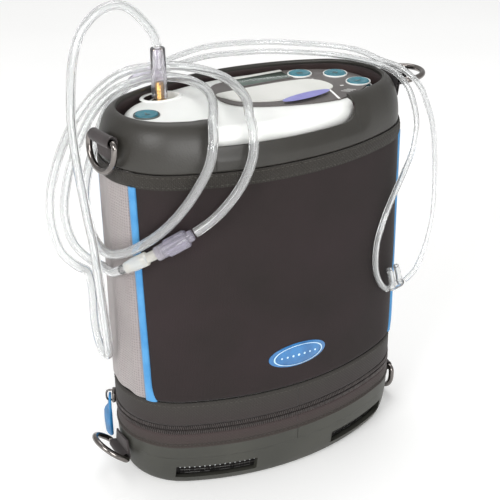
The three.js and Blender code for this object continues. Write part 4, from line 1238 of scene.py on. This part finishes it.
slider_place = on_end(-1, SLIDER_ANGLE, BAG_END_RADIUS, ZIP_LEVEL)
slider_size = (SLIDER["high"] - SLIDER["low"], 2 * SLIDER["half_width"], 2 * SLIDER["half_height"])
slider_block = block(((SLIDER["low"] + SLIDER["high"]) / 2, 0, 0), slider_size, 0.0009, 3)
bail_points = [(0.0024, 0, 0.004), (0.0054, 0, 0.004), (0.0066, 0, 0.0028), (0.0066, 0, -0.0028),
               (0.0054, 0, -0.004), (0.0024, 0, -0.004)]
bail = tube(through(bail_points, 0.0005), 0.0007, 12)
slider = merge((slider_block, 0), (bail, 0))
bmesh.ops.transform(slider, matrix=slider_place, verts=slider.verts)
make_piece(slider, "slider_body", [black_nickel], body="slider", replaces=["zip_slider"])


def tongue():
    """The pull, in the plane of Y and Z: a rounded tongue with a slot for the bail."""
    bm = bmesh.new()
    low, high = PULL["top"] - PULL["length"], PULL["top"]
    corners = [(PULL["half_width"], high), (-PULL["half_width"], high), (-PULL["half_width"], low),
               (PULL["half_width"], low)]
    half = PULL["thickness"] / 2
    face = bm.faces.new([bm.verts.new((-half, y, z)) for y, z in corners])
    grown = bmesh.ops.extrude_face_region(bm, geom=[face])
    outer = [item for item in grown["geom"] if isinstance(item, bmesh.types.BMVert)]
    bmesh.ops.translate(bm, vec=(2 * half, 0, 0), verts=outer)
    upright = [edge for edge in bm.edges if abs(edge.verts[0].co.x - edge.verts[1].co.x) > half]
    bmesh.ops.bevel(bm, geom=upright, offset=0.0028, segments=6, profile=0.5, affect="EDGES", material=-1)
    rims = [edge for edge in bm.edges if abs(edge.verts[0].co.x - edge.verts[1].co.x) < half * 0.1]
    bmesh.ops.bevel(bm, geom=rims, offset=0.0004, segments=2, profile=0.5, affect="EDGES", material=-1)
    levels = 12
    for level in range(1, levels):
        cut = low + (PULL["slot_low"] - low) * level / levels
        bmesh.ops.bisect_plane(bm, geom=bm.verts[:] + bm.edges[:] + bm.faces[:], plane_co=(0, 0, cut),
                               plane_no=(0, 0, 1))
    for vert in bm.verts:
        if vert.co.x > 0:
            from_middle = vert.co.z - (low + PULL["slot_low"]) / 2
            vert.co.x += PULL["bulge"] * swell(from_middle, PULL["length"] * 0.42)
    # The rubber has taken a slight twist below the slot, which also holds it off the bag.
    for vert in bm.verts:
        share = min(1, max(0, (PULL["slot_low"] - vert.co.z) / PULL["twist_length"]))
        share = share * share * (3 - 2 * share)
        vert.co = Matrix.Rotation(math.radians(PULL["twist"] * share), 3, "Z") @ vert.co
        vert.co.x += PULL["outset"] * share
    bmesh.ops.recalc_face_normals(bm, faces=bm.faces)
    slot = block((0, 0, (PULL["slot_low"] + PULL["slot_high"]) / 2),
                 (0.01, 2 * PULL["slot_half"], PULL["slot_high"] - PULL["slot_low"]))
    return carve(bm, slot)


pull = tongue()
bmesh.ops.transform(pull, matrix=on_end(-1, SLIDER_ANGLE, BAG_END_RADIUS + PULL_OUT, ZIP_LEVEL),
                    verts=pull.verts)
make_piece(pull, "pull_tongue", [pull_rubber], body="pull", replaces=["zip_pull"], sharp=50)

# ---- Cannula ----
# Soft clear PVC tube, extruded, pushed on the barb with a wide cuff and laid over the bag in loops.
# A ribbed socket and a swivel join two lengths, a yoke splits them, and two prongs end the branches.


def clear_pvc(name, tint, roughness, transmission):
    """Plasticised PVC: cloudy and clear, with faint drawing marks."""
    material = new_material(name)
    place = add_node(material, "ShaderNodeTexCoord")
    marks = add_node(material, "ShaderNodeTexNoise",
                     {"Vector": place.outputs["Object"], "Scale": 1 / 0.006, "Detail": 2.0})
    relief = add_node(material, "ShaderNodeBump",
                      {"Height": marks.outputs["Fac"], "Distance": 0.00004, "Strength": 1.0})
    return finish_material(material, {"Base Color": linear(tint), "Roughness": roughness, "IOR": 1.45,
                                      "Transmission Weight": transmission,
                                      "Normal": relief.outputs["Normal"]})


tube_pvc = clear_pvc("pvc_clear_tube", "#f8f9f9", 0.06, 0.88)
cuff_pvc = clear_pvc("pvc_clear_cuff", "#f3f0f5", 0.05, 0.95)
socket_pvc = clear_pvc("pvc_lavender_socket", "#dfdbe8", 0.12, 0.78)
# Styrene, moulded: cloudy yellowish white.
swivel_styrene = clear_pvc("styrene_cloudy", "#eeece5", 0.15, 0.6)

SUPPLY_ROUTE = [
    (-.0512, .0324, .2854), (-.0536, .0327, .294), (-.072, .033, .3135), (-.086, .033, .3135),
    (-.099, .033, .304), (-.107, .032, .289), (-.113, .029, .253), (-.1145, .024, .233),
    (-.117, .004, .195), (-.1175, -.005, .178), (-.1175, -.009, .16), (-.116, -.009, .138),
    (-.114, -.007, .118), (-.1115, -.001, .094), (-.1105, .009, .0895), (-.11, .019, .094),
    (-.11, .0235, .104), (-.1105, .023, .134), (-.114, .02, .147), (-.121, .017, .1535),
    (-.129, .021, .163), (-.132, .028, .178), (-.129, .036, .197), (-.121, .043, .214),
    (-.11, .0485, .231), (-.098, .0505, .246), (-.083, .049, .26), (-.067, .0465, .2675),
    (-.038, .041, .268), (-.027, .031, .2675), (-.02, .016, .267), (-.018, -.002, .2665),
    (-.025, -.037, .2655), (-.031, -.051, .2625), (-.034, -.062, .253), (-.036, -.0648, .241),
    (-.0415, -.064, .226), (-.051, -.0615, .212), (-.061, -.0575, .201), (-.07, -.0535, .194),
]
EXTENSION_ROUTE = [
    (-.1086, -.028, .1678), (-.1102, -.0185, .1622), (-.1096, -.008, .1586), (-.1095, .002, .157),
    (-.113, .012, .158), (-.1185, .021, .164), (-.1215, .028, .174), (-.121, .034, .188),
    (-.117, .0375, .202), (-.111, .04, .217), (-.1025, .042, .232), (-.092, .044, .246),
    (-.079, .0425, .257), (-.063, .0415, .2615), (-.05, .0433, .2615), (-.04, .0385, .2615),
    (-.033, .028, .2615), (-.031, .014, .2615), (-.0335, -.003, .262), (-.04, -.021, .2625),
    (-.0485, -.039, .263), (-.0555, -.052, .2605), (-.06, -.0605, .25), (-.063, -.0605, .238),
    (-.069, -.058, .225), (-.0775, -.054, .211), (-.0875, -.048, .198), (-.097, -.0395, .1875),
    (-.105, -.028, .1785), (-.11, -.015, .173), (-.111, -.003, .1715), (-.1115, .009, .175),
    (-.1115, .018, .187), (-.1085, .026, .201), (-.103, .0315, .214), (-.097, .0345, .226),
    (-.091, .0385, .236), (-.0825, .046, .244), (-.073, .0505, .251), (-.062, .0545, .256),
]
BRANCH_A_ROUTE = [
    (-.036, .0595, .259), (-.02, .061, .262), (0, .062, .2635), (.02, .06, .263), (.04, .055, .2625),
    (.058, .0465, .2615), (.072, .036, .261), (.083, .022, .2608), (.0905, .005, .2608),
    (.094, -.009, .2605), (.0975, -.021, .2575), (.1015, -.0285, .2495), (.1045, -.032, .238),
    (.105, -.035, .225), (.1005, -.0385, .21), (.091, -.042, .195), (.08, -.047, .183),
    (.071, -.0505, .17), (.065, -.0525, .156), (.0635, -.053, .142), (.0655, -.0525, .13),
    (.0705, -.051, .1205), (.077, -.0488, .114),
]
BRANCH_B_ROUTE = [
    (.093, -.047, .1165), (.101, -.0475, .123), (.109, -.046, .136), (.117, -.042, .153),
    (.123, -.036, .171), (.126, -.031, .186), (.127, -.028, .203), (.125, -.0265, .22),
    (.1195, -.0255, .236), (.1122, -.0256, .2495), (.1042, -.0175, .259), (.099, 0, .2612),
    (.0925, .017, .2645), (.0805, .033, .2658), (.065, .046, .2665), (.046, .0565, .2678),
    (.023, .063, .2688), (0, .0655, .269), (-.02, .064, .267), (-.036, .0615, .2645),
]
SUPPLY_DIAMETER = 0.006
BRANCH_DIAMETER = 0.004
SOCKET_ENDS = (Vector((-.0715, -.0528, .1928)), Vector((-.088, -.0446, .1825)))
SWIVEL_ENDS = (Vector((-.089, -.0439, .1818)), Vector((-.1069, -.03, .1693)))
YOKE_ENDS = (Vector((-.061, .0549, .2564)), Vector((-.0376, .0602, .2614)))
NASAL_ENDS = (Vector((.079, -.0483, .1141)), Vector((.0914, -.0472, .1161)))


def hollow_tube(points, radius, bore, sides=16):
    """A tube with an open bore: out along its outside, back along its inside, and round again."""
    pairs = frames_along(points)
    count = len(points)
    order = [(i, radius) for i in range(count)] + [(i, bore) for i in reversed(range(count))] + [(0, radius)]

    def place(u, v):
        i, reach = order[round(v * (len(order) - 1))]
        turn = 2 * math.pi * u
        side, other = pairs[i]
        return points[i] + reach * (side * math.cos(turn) + other * math.sin(turn)), (turn * reach, i)

    return skin(sides, len(order) - 1, place)


def aim(bm, ends):
    """Moves a shape made along Z from the origin to run from one point towards another."""
    turn = (ends[1] - ends[0]).to_track_quat("Z", "Y").to_matrix().to_4x4()
    bmesh.ops.transform(bm, matrix=Matrix.Translation(ends[0]) @ turn, verts=bm.verts)
    return bm


cuff_low, cuff_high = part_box("outlet_cuff")
CUFF_MOUTH = 0.0034
cuff_profile = [(CUFF_MOUTH, cuff_low.z), (0.0051, cuff_low.z), (0.0052, cuff_low.z + 0.0008),
                (0.0051, cuff_low.z + 0.010), (0.0048, cuff_high.z - 0.0005), (0.0044, cuff_high.z),
                (0.0022, cuff_high.z), (0.0024, cuff_high.z - 0.016), (CUFF_MOUTH, cuff_high.z - 0.020),
                (CUFF_MOUTH, cuff_low.z)]
make_piece(moved(turned(cuff_profile), OUTLET.x, OUTLET.y, 0), "cuff", [cuff_pvc],
           replaces=["outlet_cuff"], sharp=50)

SOCKET = {"collar": 0.0034, "grip_from": 0.0038, "grip_to": 0.0185, "mouth": 0.0255, "ridges": 10,
          "ridge_radius": 0.0008, "ridge_out": 0.0050}
socket = turned([(0, 0), (0.0034, 0), (0.0036, 0.0004), (0.0036, SOCKET["collar"]),
                 (0.0050, SOCKET["collar"] + 0.0002), (0.0053, SOCKET["grip_from"] + 0.0003),
                 (0.0051, SOCKET["grip_to"]), (0.0046, SOCKET["grip_to"] + 0.0004),
                 (0.0047, SOCKET["mouth"] - 0.0004), (0.0044, SOCKET["mouth"]), (0, SOCKET["mouth"])])
for i in range(SOCKET["ridges"]):
    turn = 2 * math.pi * i / SOCKET["ridges"]
    foot = Vector((SOCKET["ridge_out"] * math.cos(turn), SOCKET["ridge_out"] * math.sin(turn),
                   SOCKET["grip_from"] + 0.0006))
    ridge = Vector((0, 0, SOCKET["grip_to"] - SOCKET["grip_from"] - 0.001))
    rod(socket, foot, foot + ridge, SOCKET["ridge_radius"])
socket_piece = make_piece(aim(socket, SOCKET_ENDS), "ribbed_socket", [socket_pvc],
                          replaces=["tube_socket"], sharp=50)

swivel_length = (SWIVEL_ENDS[1] - SWIVEL_ENDS[0]).length
swivel = turned([(0, 0), (0.0030, 0), (0.0032, 0.0006), (0.0032, 0.0095), (0.0042, 0.0100), (0.0045, 0.0108),
                 (0.0045, swivel_length - 0.006), (0.0040, swivel_length - 0.0045),
                 (0.0038, swivel_length - 0.0006), (0.0034, swivel_length), (0, swivel_length)])
swivel_piece = make_piece(aim(swivel, SWIVEL_ENDS), "swivel", [swivel_styrene],
                          replaces=["tube_swivel"], sharp=50)

yoke_length = (YOKE_ENDS[1] - YOKE_ENDS[0]).length
yoke = turned([(0, 0), (0.0034, 0), (0.0037, 0.0006), (0.0040, 0.003), (0.0050, yoke_length - 0.005),
               (0.0052, yoke_length - 0.003), (0.0048, yoke_length), (0, yoke_length)])
yoke_piece = make_piece(aim(yoke, YOKE_ENDS), "branch_yoke", [socket_pvc], replaces=["yoke"],
                        sharp=50)

PRONG = {"radius": 0.0021, "bore": 0.0013, "feet": (0.0032, 0.0092)}
nasal_way = (NASAL_ENDS[1] - NASAL_ENDS[0]).normalized()
nasal_length = (NASAL_ENDS[1] - NASAL_ENDS[0]).length
saddle = turned([(0, 0), (0.0018, 0), (0.0022, 0.0004), (0.0029, 0.0025), (0.0029, nasal_length - 0.0025),
                 (0.0022, nasal_length - 0.0004), (0.0018, nasal_length), (0, nasal_length)], 24)
prongs = []
for foot_along in PRONG["feet"]:
    foot = NASAL_ENDS[0] + nasal_way * foot_along
    bend = [foot, foot + Vector((-0.0006, -0.0002, 0.005)), foot + Vector((-0.002, -0.0005, 0.010)),
            foot + Vector((-0.004, -0.001, 0.0148))]
    prongs.append(hollow_tube(through(bend, 0.001), PRONG["radius"], PRONG["bore"], 14))
nasal = merge((aim(saddle, NASAL_ENDS), 0), *((prong, 0) for prong in prongs))
nasal_piece = make_piece(nasal, "nasal_prongs", [tube_pvc], replaces=["nasal_piece"], sharp=50)


# The bore's radius, as a share of the tube's diameter.
BORE = 0.28


def tubing(name, route, diameter, node):
    """One length of cannula tube along a route."""
    points = through(route, 0.003 if diameter == SUPPLY_DIAMETER else 0.0025)
    piece = make_piece(hollow_tube(points, diameter / 2, diameter * BORE), name, [tube_pvc],
                       replaces=[node], sharp=60)
    return piece, points


supply, supply_path = tubing("supply_line", SUPPLY_ROUTE, SUPPLY_DIAMETER, "supply_tube")
extension, extension_path = tubing("extension_line", EXTENSION_ROUTE, SUPPLY_DIAMETER, "extension_tube")
branch_a, branch_a_path = tubing("branch_line_a", BRANCH_A_ROUTE, BRANCH_DIAMETER, "branch_tube_a")
branch_b, branch_b_path = tubing("branch_line_b", BRANCH_B_ROUTE, BRANCH_DIAMETER, "branch_tube_b")

# ---- Studio ----
# A lit white floor, an even white surround, and three large soft lights.
# The camera looks a little down on the front, from its left.

# White acrylic sheet on a light box: matt, and faintly lit from below.
floor_white = grained("acrylic_white_sheet", "#f6f6f5", "#f9f9f8", 0.3, 0.002, 0.00001,
                      {"Roughness": 0.9, "Emission Color": (1, 1, 1, 1), "Emission Strength": 0.12})
floor_bm = bmesh.new()
bmesh.ops.create_grid(floor_bm, x_segments=4, y_segments=4, size=4)
moved(floor_bm, 0, 0, -0.0002)
floor_mesh = bpy.data.meshes.new("floor")
floor_bm.to_mesh(floor_mesh)
floor_bm.free()
floor_mesh.materials.append(floor_white)
floor = bpy.data.objects.new("floor", floor_mesh)
bpy.context.collection.objects.link(floor)

world = bpy.data.worlds.new("surround")
bpy.context.scene.world = world
world.use_nodes = True
sky = world.node_tree.nodes["Background"]
sky.inputs["Color"].default_value = (1, 1, 1, 1)
sky.inputs["Strength"].default_value = 0.57
bpy.context.scene.view_settings.view_transform = "Standard"


def soft_light(name, place, aim_at, size, power):
    """A large square lamp aimed at a point."""
    lamp = bpy.data.lights.new(name, "AREA")
    lamp.size = size
    lamp.energy = power
    item = bpy.data.objects.new(name, lamp)
    item.location = place
    item.rotation_euler = (Vector(aim_at) - Vector(place)).to_track_quat("-Z", "Y").to_euler()
    bpy.context.collection.objects.link(item)


AIM = (0, 0, 0.15)
soft_light("window_left", (-1.5, -0.8, 1.1), AIM, 0.8, 16)
soft_light("window_front", (-0.5, -1.9, 0.7), AIM, 1.0, 21)
soft_light("ceiling", (0.2, 0.5, 1.8), (0, 0, 0.2), 1.2, 11)

VIEW = {"azimuth": math.radians(-28.6), "elevation": math.radians(26.11), "roll": math.radians(-0.67),
        "distance": 0.7877, "target": Vector((-0.00354, 0, 0.1435)), "lens": 83.09}
back = Vector((math.sin(VIEW["azimuth"]) * math.cos(VIEW["elevation"]),
               -math.cos(VIEW["azimuth"]) * math.cos(VIEW["elevation"]), math.sin(VIEW["elevation"])))
right = (-back).cross(Vector((0, 0, 1))).normalized()
up = right.cross(-back)
tilted_right = right * math.cos(VIEW["roll"]) + up * math.sin(VIEW["roll"])
tilted_up = up * math.cos(VIEW["roll"]) - right * math.sin(VIEW["roll"])
camera_data = bpy.data.cameras.new("camera")
camera_data.lens = VIEW["lens"]
camera = bpy.data.objects.new("camera", camera_data)
turned_axes = Matrix((tilted_right, tilted_up, back)).transposed().to_4x4()
camera.matrix_world = Matrix.Translation(VIEW["target"] + back * VIEW["distance"]) @ turned_axes
bpy.context.collection.objects.link(camera)
bpy.context.scene.camera = camera
